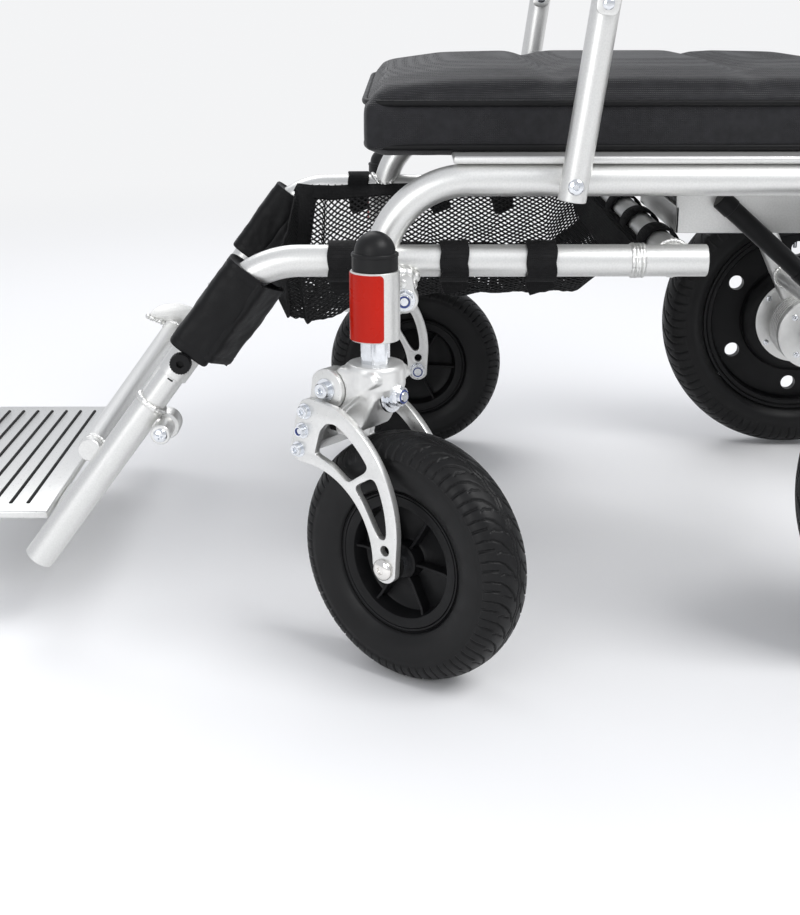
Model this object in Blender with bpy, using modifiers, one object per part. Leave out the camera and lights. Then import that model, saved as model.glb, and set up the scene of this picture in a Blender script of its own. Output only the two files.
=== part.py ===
"""Folding power wheelchair, modelled piece by piece.

The chair faces -Y and its user's left side is +X. The design frame has X = 0 on the
middle plane, Y = 0 at the caster stems and Z = 0 on the floor. The whole chair is then
moved so that the origin is the centre of the floor area under its bounding box.
"""

import bmesh
import bpy
from math import cos, pi, radians, sin, sqrt, tan
from mathutils import Matrix, Vector

# Driving dimensions, in metres and degrees

GAP = 0.0003
PIN_GAP = 0.0004

TUBE_RADIUS = 0.0127
BEND_RADIUS = 0.072
RAIL_X = 0.2304
LOWER_RAIL_Z = 0.3162
LOWER_RAIL_END_Y = 0.262
UPPER_RAIL_Z = 0.3797
RISER_Y = 0.0017
BASE_CROSS_Y = 0.237

LEG_SCREW_Y = -0.157
LEG_SCREW_Z = 0.2365
HANGER_ANGLE = 53.0
HANGER_END = 0.0162
KNOB_RADIUS = 0.0085
KNOB_LENGTH = 0.008

BACK_HINGE_Y = 0.481
BACK_HINGE_Z = 0.510
BACK_RECLINE = 8.0
HINGE_ROOM = 0.020
HINGE_PIN_RADIUS = 0.0042
HINGE_PLATE = 0.004

CASTER_X = 0.2965
HOUSING_RADIUS = 0.0189
HOUSING_BOTTOM = 0.268
HOUSING_TOP = 0.3210
STEM_RADIUS = 0.0082
CAP_SKIRT_RADIUS = 0.0175
CAP_SKIRT_TOP = 0.3345
CAP_DOME_RADIUS = 0.0156
CAP_TOP = 0.3502
LEFT_CASTER_YAW = -38.2
RIGHT_CASTER_YAW = 2.6
CASTER_TRAIL = 0.0364
CASTER_RADIUS = 0.100
CASTER_WIDTH = 0.050
CASTER_BEAD_RADIUS = 0.0575
RIM_RECESS_RADIUS = 0.0455
CASTER_HUB_RADIUS = 0.014
CASTER_AXLE_RADIUS = 0.005
FLANGE_RADIUS = 0.023
FLANGE_BOTTOM = 0.236
FLANGE_TOP = 0.250
STEM_NUT_ACROSS = 0.0207

PIVOT_AHEAD = 0.0646
PIVOT_Z = 0.2290
PIVOT_LOBE_RADIUS = 0.016
PIVOT_BOLT_RADIUS = 0.004
LUG_HALF_WIDTH = 0.010
CHEEK_HALF_WIDTH = 0.026
ARM_PLATE_INNER = 0.0305
ARM_PLATE_THICKNESS = 0.006

REAR_LEG_X = 0.258
REAR_HINGE_Y = 0.372
REAR_AXLE_Y = 0.480
REAR_AXLE_Z = 0.155
REAR_HINGE_BOLT_RADIUS = 0.005
REAR_CROSS_RADIUS = 0.011
REAR_CROSS_ALONG = 0.185
DRIVE_WHEEL_X = 0.306
DRIVE_RADIUS = 0.1525
DRIVE_WIDTH = 0.054
DRIVE_BEAD_RADIUS = 0.108
DRIVE_AXLE_RADIUS = 0.008
MOTOR_RADIUS = 0.062
BRAKE_RADIUS = 0.040
TIP_WHEEL_Y = 0.570
TIP_WHEEL_Z = 0.070
TIP_WHEEL_RADIUS = 0.025
TIP_WHEEL_WIDTH = 0.020
TIP_AXLE_RADIUS = 0.004

STRUT_X = 0.112
STRUT_TOP_Y = 0.300
STRUT_TOP_Z = 0.345
STRUT_LUG = 0.020
STRUT_RADIUS = 0.009
STRUT_ROD_RADIUS = 0.005
STRUT_TUBE_LENGTH = 0.105
STRUT_ROD_LENGTH = 0.108

SEAT_PAN_THICKNESS = 0.006
SEAT_PAN_LAP = 0.0096
SEAT_PAN_FRONT = 0.060
SEAT_PAN_REAR = 0.395
SEAT_HALF_WIDTH = 0.213
SEAT_FRONT = -0.010
SEAT_REAR = 0.446
SEAT_THICKNESS = 0.062
BATTERY_HALF_WIDTH = 0.095
BATTERY_FRONT = 0.264
BATTERY_REAR = 0.405
BATTERY_BOTTOM = 0.320
BATTERY_TOP = 0.374
TRAY_WALL = 0.003

BACK_HALF_WIDTH = 0.2172
BACK_NOTCH_HALF_WIDTH = 0.209
BACK_PAD_BOTTOM = 0.016
BACK_PAD_TOP = 0.395
BACK_PAD_FRONT = 0.036
BACK_PAD_REAR = 0.005
CANE_HEIGHT = 0.410
HANDLE_LENGTH = 0.135
HANDLE_BEND = 0.050
BACK_BAR_RADIUS = 0.010
BACK_BAR_HEIGHT = 0.285
BACK_BAR_OFFSET = 0.017
BACK_BAR_BOW = 0.036

ARM_RADIUS = 0.011
ARM_CLEARANCE = 0.015
ARM_PIVOT_HEIGHT = 0.165
ARM_REACH = 0.330
ARM_BEND = 0.060
ARM_PIN_RADIUS = 0.004
PAD_OFFSET = 0.003
PAD_HALF_WIDTH = 0.0225
PAD_FRONT = 0.212
PAD_REAR = 0.474
PAD_HEIGHT = 0.028

CONTROLLER_FRONT = 0.060
CONTROLLER_REAR = 0.168
CONTROLLER_HALF_WIDTH = 0.026
CONTROLLER_BOTTOM = 0.694
CONTROLLER_HEIGHT = 0.036
STICK_Y = 0.100
STICK_WELL_RADIUS = 0.014
GIMBAL_RADIUS = 0.007
STICK_RADIUS = 0.003
BUTTON_RADIUS = 0.006
BUTTON_Y = 0.145
BUTTON_SPACING = 0.022

BASKET_FRONT = -0.095
BASKET_HALF_WIDTH = 0.2158
BASKET_REAR = 0.2226
BASKET_WALL = 0.0025
SLEEVE_TOP = 0.090
SLEEVE_BOTTOM = 0.011
SLEEVE_HALF_WIDTH = 0.01575
CALF_PANEL_TOP = 0.062

INNER_TUBE_RADIUS = 0.0110
BORE_RADIUS = 0.0113
FOOT_WELD = 0.046
FOOT_HINGE_ALONG = 0.205
FOOT_CROSS_RADIUS = 0.0095
FOOTPLATE_LENGTH = 0.130
FOOTPLATE_HALF_WIDTH = 0.170
FOOTPLATE_THICKNESS = 0.008

# The move that brings the bounding box's centre over the origin
SHIFT = Vector((-0.0257, -0.1252, 0.0))

# Colours

SILVER = (0.62, 0.62, 0.61)
BRIGHT = (0.72, 0.72, 0.72)
BLACK = (0.02, 0.02, 0.021)

# Places worked out from the driving dimensions

HANGER = Vector((0.0, -cos(radians(HANGER_ANGLE)), -sin(radians(HANGER_ANGLE))))
HANGER_BACK = Vector((0.0, -HANGER.z, HANGER.y))
KNOB = Vector((0.0, LEG_SCREW_Y, LEG_SCREW_Z))
CANE = Vector((0.0, sin(radians(BACK_RECLINE)), cos(radians(BACK_RECLINE))))
CANE_BACK = Vector((0.0, CANE.z, -CANE.y))
BACK_HINGE = Vector((0.0, BACK_HINGE_Y, BACK_HINGE_Z))
REAR_HINGE = Vector((0.0, REAR_HINGE_Y, UPPER_RAIL_Z))
REAR_AXLE = Vector((0.0, REAR_AXLE_Y, REAR_AXLE_Z))
LEG = (REAR_AXLE - REAR_HINGE).normalized()
REAR_CROSS = REAR_HINGE + LEG * REAR_CROSS_ALONG
STRUT_TOP = Vector((STRUT_X, STRUT_TOP_Y, STRUT_TOP_Z))
ARM_PIVOT = BACK_HINGE + CANE * ARM_PIVOT_HEIGHT
ARM_LINK = Vector((0.0, -ARM_REACH, UPPER_RAIL_Z - BACK_HINGE_Z))
POST_FOOT = BACK_HINGE + ARM_LINK
POST_HEAD = ARM_PIVOT + ARM_LINK
SEAT_PAN_HALF_WIDTH = RAIL_X + SEAT_PAN_LAP
ARM_X = SEAT_PAN_HALF_WIDTH + ARM_CLEARANCE + ARM_RADIUS
PAD_X = ARM_X + PAD_OFFSET
CONTROLLER_TOP = CONTROLLER_BOTTOM + CONTROLLER_HEIGHT
SEAT_PAN_BOTTOM = UPPER_RAIL_Z + TUBE_RADIUS + GAP
SEAT_BOTTOM = SEAT_PAN_BOTTOM + SEAT_PAN_THICKNESS + GAP


def point(x, place):
    """A place on a side plane, moved to the width x."""
    return Vector((x, place.y, place.z))


# Scene, collections and materials

for old in list(bpy.data.objects):
    bpy.data.objects.remove(old, do_unlink=True)

parts = bpy.data.collections.new("Folding power wheelchair")
cutters = bpy.data.collections.new("Cutters")
bpy.context.scene.collection.children.link(parts)
bpy.context.scene.collection.children.link(cutters)


def material(name, colour, roughness, metallic=0.0):
    made = bpy.data.materials.new(name)
    made.use_nodes = True
    shader = made.node_tree.nodes["Principled BSDF"]
    shader.inputs["Base Color"].default_value = (*colour, 1.0)
    shader.inputs["Roughness"].default_value = roughness
    shader.inputs["Metallic"].default_value = metallic
    made.diffuse_color = (*colour, 1.0)
    return made


FINISHES = {
    "silver": (SILVER, 0.38, 0.85),
    "plate": (BRIGHT, 0.28, 0.9),
    "zinc": ((0.66, 0.68, 0.70), 0.3, 1.0),
    "plastic": (BLACK, 0.42, 0.0),
    "rubber": ((0.018, 0.018, 0.018), 0.75, 0.0),
    "fabric": ((0.022, 0.022, 0.024), 0.9, 0.0),
    "leather": ((0.025, 0.025, 0.027), 0.55, 0.0),
}


def finish(made, kind):
    """Gives an object a material of its own, named after it."""
    made.data.materials.clear()
    made.data.materials.append(material(made.name, *FINISHES[kind]))
    return made


# Bodies: an empty on each joint's axis carries the pieces that move with it

chair = bpy.data.objects.new("chair", None)
parts.objects.link(chair)
chair.location = SHIFT


def body(name, place, parent=chair, parent_place=Vector(), turn=0.0):
    """An empty at a place of the design frame, under the empty of its parent."""
    made = bpy.data.objects.new(name, None)
    made.empty_display_size = 0.03
    parts.objects.link(made)
    made.parent = parent
    made.location = place - parent_place
    made.rotation_euler.z = radians(turn)
    return made


def carry(made, holder=None, place=Vector()):
    """Hangs a piece drawn in the design frame on the empty at the given place."""
    made.parent = holder or chair
    made.matrix_parent_inverse = Matrix.Translation(-Vector(place))
    return made


# Shapes

def smooth(mesh, angle=38.0):
    mesh.shade_smooth()
    mesh.set_sharp_from_angle(angle=radians(angle))


def from_bmesh(name, shape, where=parts):
    mesh = bpy.data.meshes.new(name)
    bmesh.ops.recalc_face_normals(shape, faces=shape.faces)
    shape.to_mesh(mesh)
    shape.free()
    smooth(mesh)
    made = bpy.data.objects.new(name, mesh)
    where.objects.link(made)
    return made


def box(name, low, high, bevel=0.0, where=parts):
    """A box between two corners, with its edges rounded by bevel."""
    low, high = Vector(low), Vector(high)
    shape = bmesh.new()
    size = high - low
    matrix = Matrix.Translation((low + high) / 2) @ Matrix.Diagonal((*size, 1.0))
    bmesh.ops.create_cube(shape, size=1.0, matrix=matrix)
    made = from_bmesh(name, shape, where)
    if bevel:
        rounded = made.modifiers.new("Rounded edges", "BEVEL")
        rounded.width = bevel
        rounded.segments = 2
        rounded.limit_method = "ANGLE"
    return made


def along(start, end):
    """The matrix that lays the Z axis from start to end, with its origin halfway."""
    start, end = Vector(start), Vector(end)
    turn = (end - start).to_track_quat("Z", "Y").to_matrix().to_4x4()
    return Matrix.Translation((start + end) / 2) @ turn


def rod(name, start, end, radius, sides=16, end_radius=None, where=parts):
    """A round bar, or a cone, from start to end."""
    shape = bmesh.new()
    length = (Vector(end) - Vector(start)).length
    bmesh.ops.create_cone(
        shape,
        cap_ends=True,
        segments=sides,
        radius1=radius,
        radius2=radius if end_radius is None else end_radius,
        depth=length,
        matrix=along(start, end),
    )
    return from_bmesh(name, shape, where)


def ball(name, centre, radius, segments=12, rings=8):
    shape = bmesh.new()
    bmesh.ops.create_uvsphere(
        shape,
        u_segments=segments,
        v_segments=rings,
        radius=radius,
        matrix=Matrix.Translation(centre),
    )
    return from_bmesh(name, shape)


def rounded_path(corners, radius, step=15.0):
    """The points of a path through corners, each rounded with the bend radius."""
    corners = [Vector(c) for c in corners]
    points = [corners[0]]
    for before, corner, after in zip(corners, corners[1:], corners[2:]):
        back = (before - corner).normalized()
        ahead = (after - corner).normalized()
        opening = back.angle(ahead)
        bend = pi - opening
        reach = radius * tan(bend / 2)
        centre = corner + (back + ahead).normalized() * radius / cos(bend / 2)
        first = corner + back * reach - centre
        last = corner + ahead * reach - centre
        steps = max(2, round(bend / radians(step)))
        for i in range(steps + 1):
            share = i / steps
            arm = first * sin((1 - share) * bend) + last * sin(share * bend)
            points.append(centre + arm / sin(bend))
    points.append(corners[-1])
    return points


def tube(name, points, radius, sides=3):
    """A round tube along points: a curve with bevel, made a closed mesh."""
    curve = bpy.data.curves.new(name, "CURVE")
    curve.dimensions = "3D"
    curve.bevel_depth = radius
    curve.bevel_resolution = sides
    curve.use_fill_caps = True
    line = curve.splines.new("POLY")
    line.points.add(len(points) - 1)
    for knot, place in zip(line.points, points):
        knot.co = (*place, 1.0)
    return as_mesh(bpy.data.objects.new(name, curve))


def as_mesh(drawn):
    """The curve object's evaluated surface as a mesh object with welded caps."""
    parts.objects.link(drawn)
    seen = drawn.evaluated_get(bpy.context.evaluated_depsgraph_get())
    mesh = bpy.data.meshes.new_from_object(seen)
    name, place = drawn.name, drawn.matrix_world.copy()
    bpy.data.objects.remove(drawn, do_unlink=True)
    shape = bmesh.new()
    shape.from_mesh(mesh)
    bmesh.ops.remove_doubles(shape, verts=shape.verts, dist=0.00001)
    bmesh.ops.recalc_face_normals(shape, faces=shape.faces)
    shape.to_mesh(mesh)
    shape.free()
    smooth(mesh)
    made = bpy.data.objects.new(name, mesh)
    parts.objects.link(made)
    made.matrix_world = place
    made.name = name
    return made


def plate(name, outlines, low, high):
    """Flat outlines of (y, z) points, filled and made thick from x = low to high."""
    curve = bpy.data.curves.new(name, "CURVE")
    curve.dimensions = "2D"
    curve.fill_mode = "BOTH"
    curve.extrude = (high - low) / 2
    for outline in outlines:
        line = curve.splines.new("POLY")
        line.points.add(len(outline) - 1)
        line.use_cyclic_u = True
        for knot, (y, z) in zip(line.points, outline):
            knot.co = (y, z, 0.0, 1.0)
    drawn = bpy.data.objects.new(name, curve)
    made = as_mesh(drawn)
    turn = Matrix(((0, 0, 1, (low + high) / 2), (1, 0, 0, 0), (0, 1, 0, 0), (0, 0, 0, 1)))
    made.data.transform(turn)
    return made


def arc(centre, radius, start, end, steps):
    """Points (y, z) on an arc, from the start angle to the end angle in degrees."""
    angles = (radians(start + (end - start) * i / steps) for i in range(steps + 1))
    return [(centre[0] + radius * cos(a), centre[1] + radius * sin(a)) for a in angles]


def ring(centre, radius, steps=12):
    return arc(centre, radius, 0.0, 360.0 * (1 - 1 / steps), steps - 1)


def turned(name, profile, steps=32):
    """A profile of (radius, height) points, outer side top to bottom, screwed round Z.

    The profile is closed, unless it starts and ends on the axis.
    """
    shape = bmesh.new()
    knots = [shape.verts.new((r, 0.0, z)) for r, z in profile]
    on_axis = profile[0][0] == 0.0 and profile[-1][0] == 0.0
    pairs = list(zip(knots, knots[1:]))
    if not on_axis:
        pairs.append((knots[-1], knots[0]))
    for a, b in pairs:
        shape.edges.new((a, b))
    mesh = bpy.data.meshes.new(name)
    shape.to_mesh(mesh)
    shape.free()
    made = bpy.data.objects.new(name, mesh)
    parts.objects.link(made)
    screw = made.modifiers.new("Screw", "SCREW")
    screw.steps = steps
    screw.render_steps = steps
    screw.use_merge_vertices = True
    screw.merge_threshold = 0.0001
    screw.use_smooth_shade = True
    return made


def turn_to_x(made, place):
    """Lays a turned piece's axis along X, at a place."""
    made.location = place
    made.rotation_euler = (0.0, pi / 2, 0.0)
    return made


def boolean(made, other, operation):
    change = made.modifiers.new(operation.title(), "BOOLEAN")
    change.operation = operation
    change.solver = "EXACT"
    change.object = other
    for home in list(other.users_collection):
        home.objects.unlink(other)
    cutters.objects.link(other)
    other.hide_render = True
    other.display_type = "WIRE"
    other.parent = made.parent
    other.matrix_parent_inverse = made.matrix_parent_inverse
    return made


def cut(made, other):
    return boolean(made, other, "DIFFERENCE")


def join(made, *others):
    for other in others:
        boolean(made, other, "UNION")
    return made


def hole(made, x_low, x_high, place, radius, sides=12):
    """A round hole along X through a piece."""
    start, end = point(x_low, place), point(x_high, place)
    return cut(made, rod("Hole in " + made.name, start, end, radius, sides))


# Front frame

def side_name(side):
    return "left" if side > 0 else "right"


def hanger_path(side, rear_y, below_knob):
    """The lower rail's line, from a place on the rail down past the footrest's knob."""
    x = side * RAIL_X
    rise = (LOWER_RAIL_Z - KNOB.z) / HANGER.z
    corner = point(x, KNOB + HANGER * rise)
    end = point(x, KNOB + HANGER * below_knob)
    return rounded_path([(x, rear_y, LOWER_RAIL_Z), corner, end], BEND_RADIUS)


def side_tube(side):
    """Lower rail with the front bend that becomes the footrest hanger."""
    x = side * RAIL_X
    path = hanger_path(side, LOWER_RAIL_END_Y, HANGER_END)
    made = tube(side_name(side) + "_side_tube", path, TUBE_RADIUS, 4)
    bore_start = point(x, KNOB + HANGER * (HANGER_END - 0.078))
    bore_end = point(x, KNOB + HANGER * (HANGER_END + 0.01))
    cut(made, rod("Hanger bore", bore_start, bore_end, BORE_RADIUS, 16))
    hole(made, x + side * 0.0095, x + side * 0.02, KNOB, 0.0032, 8)
    return carry(finish(made, "silver"))


def leg_screw(side):
    """Round-headed clamp screw that locks the footrest's inner tube."""
    face = side * (RAIL_X + TUBE_RADIUS + GAP)
    head = rod(
        side_name(side) + "_leg_screw",
        point(face, KNOB),
        point(face + side * KNOB_LENGTH, KNOB),
        KNOB_RADIUS,
        20,
    )
    tip = point(side * (RAIL_X + BORE_RADIUS + 0.0002), KNOB)
    join(head, rod("Knob shank", tip, point(face + side * 0.003, KNOB), 0.0029, 8))
    socket_start = point(face + side * (KNOB_LENGTH - 0.003), KNOB)
    cut(head, rod("Knob socket", socket_start, point(face + side * 0.02, KNOB), 0.003, 6))
    return carry(finish(head, "plastic"))


def upper_rail(side):
    """Riser, seat rail and lower back post in one bent tube."""
    x = side * RAIL_X
    drop = (UPPER_RAIL_Z - BACK_HINGE_Z) / CANE.z
    corners = [
        (x, RISER_Y, LOWER_RAIL_Z),
        (x, RISER_Y, UPPER_RAIL_Z),
        point(x, BACK_HINGE + CANE * drop),
        point(x, BACK_HINGE + CANE * 0.013),
    ]
    points = rounded_path(corners, BEND_RADIUS)
    points = [p for p in points if p.z > LOWER_RAIL_Z + 0.004]
    made = tube(side_name(side) + "_upper_rail", points, TUBE_RADIUS, 4)
    start = (x, RISER_Y - 0.05, LOWER_RAIL_Z)
    end = (x, RISER_Y + 0.05, LOWER_RAIL_Z)
    cut(made, rod("Riser cope", start, end, TUBE_RADIUS + GAP, 20))
    reach = 0.03
    hole(made, x - reach, x + reach, BACK_HINGE, HINGE_PIN_RADIUS + PIN_GAP)
    hole(made, x - reach, x + reach, REAR_HINGE, REAR_HINGE_BOLT_RADIUS + PIN_GAP)
    hole(made, x - reach, x + reach, POST_FOOT, ARM_PIN_RADIUS + PIN_GAP)
    return carry(finish(made, "silver"))


def base_cross_tube():
    half = RAIL_X - TUBE_RADIUS - GAP
    place = Vector((0.0, BASE_CROSS_Y, LOWER_RAIL_Z))
    made = rod("base_cross_tube", point(-half, place), point(half, place), TUBE_RADIUS, 16)
    return carry(finish(made, "silver"))


def caster_housing(side):
    """Stem bearing housing with its bracket to the side tube and a bolted ear."""
    x = side * CASTER_X
    made = rod(
        side_name(side) + "_caster_housing",
        (x, 0.0, HOUSING_BOTTOM),
        (x, 0.0, HOUSING_TOP),
        HOUSING_RADIUS,
        24,
    )
    inner = side * (RAIL_X + 0.004)
    outer = side * (CASTER_X - 0.010)
    low, high = min(inner, outer), max(inner, outer)
    bracket = box("Bracket", (low, -0.013, 0.289), (high, 0.013, 0.316), 0.004)
    neck_low, neck_high = sorted((side * 0.237, side * 0.256))
    neck = box("Ear neck", (neck_low, 0.006, 0.290), (neck_high, 0.032, 0.309), 0.003)
    ear_place = Vector((0.0, 0.022, 0.2895))
    ear = rod(
        "Ear", point(side * 0.237, ear_place), point(side * 0.256, ear_place), 0.010, 20
    )
    nut = rod(
        "Ear nut", point(side * 0.250, ear_place), point(side * 0.263, ear_place), 0.0075, 6
    )
    join(made, bracket, neck, ear, nut)
    rail_start = (side * RAIL_X, -0.08, LOWER_RAIL_Z)
    rail_end = (side * RAIL_X, 0.08, LOWER_RAIL_Z)
    cut(made, rod("Rail cope", rail_start, rail_end, TUBE_RADIUS + GAP, 20))
    bore_bottom = (x, 0.0, HOUSING_BOTTOM - 0.005)
    bore_top = (x, 0.0, HOUSING_TOP + 0.005)
    cut(made, rod("Stem bore", bore_bottom, bore_top, STEM_RADIUS + PIN_GAP, 16))
    return carry(finish(made, "silver"))


def housing_cap(side):
    base = HOUSING_TOP + GAP
    rise = CAP_TOP - CAP_SKIRT_TOP
    profile = [(0.0, CAP_TOP)]
    for i in range(1, 6):
        angle = radians(90.0 - 90.0 * i / 6)
        profile.append((CAP_DOME_RADIUS * cos(angle), CAP_SKIRT_TOP + rise * sin(angle)))
    profile += [
        (CAP_DOME_RADIUS, CAP_SKIRT_TOP),
        (CAP_SKIRT_RADIUS, CAP_SKIRT_TOP - 0.001),
        (CAP_SKIRT_RADIUS, base),
        (0.0, base),
    ]
    made = turned(side_name(side) + "_housing_cap", profile, 20)
    made.location = (side * CASTER_X, 0.0, 0.0)
    return carry(finish(made, "plastic"))


# Casters, drawn about the stem axis with +Y trailing behind it

def caster_place(ahead, z):
    """A place on the caster's middle plane, ahead of the wheel axle."""
    return Vector((0.0, CASTER_TRAIL - ahead, z))


PIVOT = caster_place(PIVOT_AHEAD, PIVOT_Z)
CASTER_AXLE = caster_place(0.0, CASTER_RADIUS)


def fork_head(side, holder):
    """Cast head: stem, hexagon, flange, hood, front lug and rear bolt boss."""
    made = rod(
        side_name(side) + "_fork_head",
        (0.0, 0.0, FLANGE_BOTTOM - 0.008),
        (0.0, 0.0, FLANGE_TOP),
        FLANGE_RADIUS,
        20,
    )
    hexagon = STEM_NUT_ACROSS / sqrt(3.0)
    nut = rod("Stem nut", (0, 0, FLANGE_TOP - 0.002), (0, 0, HOUSING_BOTTOM - GAP), hexagon, 6)
    stem = rod("Stem", (0, 0, FLANGE_TOP), (0, 0, HOUSING_TOP - 0.003), STEM_RADIUS, 16)
    hood_line = [
        (-0.020, 0.243),
        (0.019, 0.243),
        (0.0205, 0.231),
        (0.012, 0.216),
        (0.001, 0.2025),
        (-0.001, 0.1990),
        (-0.0156, 0.1915),
        (-0.0262, 0.1925),
        (-0.0262, 0.2095),
        (-0.024, 0.226),
    ]
    hood = plate("Hood", [hood_line], -0.0225, 0.0225)
    lug_line = arc((PIVOT.y, PIVOT.z), 0.0135, 90.0, 285.0, 8)
    lug_line += [(-0.010, 0.214), (-0.006, 0.240)]
    lug = plate("Front lug", [lug_line], -LUG_HALF_WIDTH, LUG_HALF_WIDTH)
    boss_start = Vector((0.0, -0.008, 0.2255))
    boss_end = Vector((0.0, 0.0145, 0.2265))
    boss = rod("Rear boss", boss_start, boss_end, 0.0085, 20, 0.0125)
    ring_end = Vector((0.0, 0.0185, 0.2267))
    boss_ring = rod("Boss ring", boss_end, ring_end, 0.0145, 16)
    nut_end = Vector((0.0, 0.0295, 0.2272))
    rear_nut = rod("Rear nut", ring_end - (nut_end - ring_end) * 0.1, nut_end, 0.0075, 6)
    join(made, nut, stem, hood, boss, boss_ring, rear_nut)
    for face in (1, -1):
        start = point(face * (LUG_HALF_WIDTH + 0.0001), PIVOT)
        end = point(face * 0.05, PIVOT)
        cut(made, rod("Lobe room", start, end, PIVOT_LOBE_RADIUS + 0.0008, 16))
    join(made, lug)
    cut(
        made,
        rod(
            "Pivot bore",
            point(-0.03, PIVOT),
            point(0.03, PIVOT),
            PIVOT_BOLT_RADIUS + PIN_GAP,
            14,
        ),
    )
    made.parent = holder
    adopt_cutters(made)
    return finish(made, "silver")


def adopt_cutters(made):
    """Hangs a piece's operands, and theirs, on the empty that the piece hangs on."""
    for change in made.modifiers:
        if change.type == "BOOLEAN":
            change.object.parent = made.parent
            change.object.matrix_parent_inverse = made.matrix_parent_inverse
            adopt_cutters(change.object)


SCREWS = [(0.0770, 0.2120), (0.0800, 0.1960), (0.0845, 0.1800)]


def arm_outline():
    """The machined plate: two long arcs from the screw block to the axle end."""
    t = CASTER_TRAIL
    outline = arc((t - 0.0896, 0.1265), 0.1022, 65.0, -6.0, 8)
    outline += arc((t + 0.0005, CASTER_RADIUS), 0.0114, -25.0, -155.0, 5)
    outline += arc((t - 0.0792, 0.1016), 0.0683, 2.0, 92.0, 7)
    outline += [
        (t - 0.0875, 0.1712),
        (t - 0.0925, 0.1750),
        (t - 0.0930, 0.1810),
        (t - 0.0855, 0.2120),
        (t - 0.0815, 0.2195),
        (t - 0.0740, 0.2230),
    ]
    upper = [
        (t - 0.0685, 0.1790),
        (t - 0.0625, 0.1985),
        (t - 0.0560, 0.2055),
        (t - 0.0480, 0.2063),
        (t - 0.0339, 0.1978),
        (t - 0.0155, 0.1784),
        (t - 0.0180, 0.1738),
        (t - 0.0335, 0.1632),
        (t - 0.0375, 0.1634),
        (t - 0.0520, 0.1732),
    ]
    lower = [
        (t - 0.0278, 0.1590),
        (t - 0.0262, 0.1622),
        (t - 0.0125, 0.1702),
        (t - 0.0085, 0.1692),
        (t - 0.0003, 0.1488),
        (t + 0.0024, 0.1268),
        (t - 0.0040, 0.1238),
        (t - 0.0150, 0.1405),
        (t - 0.0247, 0.1546),
    ]
    return outline, upper, lower


def arm_plate(side, name, outward, holder):
    """One of the two plates that hold the wheel; its three screw heads are joined on."""
    t = CASTER_TRAIL
    outline, upper, lower = arm_outline()
    holes = [
        ring((t + 0.0002, CASTER_RADIUS), CASTER_AXLE_RADIUS + PIN_GAP, 12),
        ring((t + 0.0009, 0.1150), 0.0042, 8),
    ]
    inner = outward * ARM_PLATE_INNER
    outer = outward * (ARM_PLATE_INNER + ARM_PLATE_THICKNESS)
    low, high = min(inner, outer), max(inner, outer)
    made = plate(side_name(side) + name, [outline, upper, lower, *holes], low, high)
    for ahead, z in SCREWS:
        place = caster_place(ahead, z)
        start = point(outer - outward * 0.001, place)
        end = point(outer + outward * 0.005, place)
        join(made, rod("Screw head", start, end, 0.0058, 10))
    made.parent = holder
    adopt_cutters(made)
    return finish(made, "plate")


def arm_block(side, holder):
    """Clevis block between the plates, with the pivot bolt through its two cheeks."""
    y, z = PIVOT.y, PIVOT.z
    cheek_line = arc((y, z), PIVOT_LOBE_RADIUS, -90.0, 150.0, 10)
    cheek_line += [(y - 0.0165, 0.2190), (y - 0.0190, 0.2060), (y - 0.0045, 0.2060)]
    made = plate(
        side_name(side) + "_arm_block", [cheek_line], LUG_HALF_WIDTH + PIN_GAP, CHEEK_HALF_WIDTH
    )
    other = plate("Other cheek", [cheek_line], -CHEEK_HALF_WIDTH, -LUG_HALF_WIDTH - PIN_GAP)
    half = ARM_PLATE_INNER - GAP
    web_line = [
        (y - 0.0105, 0.2135),
        (y - 0.0205, 0.2135),
        (y - 0.0275, 0.1760),
        (y - 0.0200, 0.1735),
        (y - 0.0105, 0.1850),
    ]
    web = plate("Screw block", [web_line], -half, half)
    bolt = rod("Pivot bolt", point(-0.031, PIVOT), point(0.031, PIVOT), PIVOT_BOLT_RADIUS, 14)
    head = rod("Bolt head", point(0.025, PIVOT), point(0.0335, PIVOT), 0.0060, 14)
    nut = rod("Bolt nut", point(-0.0335, PIVOT), point(-0.025, PIVOT), 0.0062, 6)
    join(made, web, other, bolt, head, nut)
    made.parent = holder
    adopt_cutters(made)
    return finish(made, "silver")


def rubber_block(side, holder):
    """Elastomer between the head's front wall and the screw block."""
    made = box(
        side_name(side) + "_rubber_block",
        (-0.012, -0.0384, 0.1915),
        (0.012, -0.0265, 0.2055),
        0.001,
    )
    made.parent = holder
    return finish(made, "rubber")


def caster_tyre(side, holder):
    half = CASTER_WIDTH / 2
    bead = CASTER_BEAD_RADIUS + GAP
    profile = [
        (bead, half * 0.72),
        (0.0680, half * 0.95),
        (0.0790, half),
        (0.0880, half * 0.94),
        (0.0955, half * 0.66),
        (0.0990, half * 0.33),
        (CASTER_RADIUS, 0.0),
    ]
    profile += [(r, -v) for r, v in reversed(profile[:-1])]
    made = turned(side_name(side) + "_caster_tyre", profile, 24)
    turn_to_x(made, (0.0, CASTER_AXLE.y, CASTER_AXLE.z))
    made.parent = holder
    return finish(made, "rubber")


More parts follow.
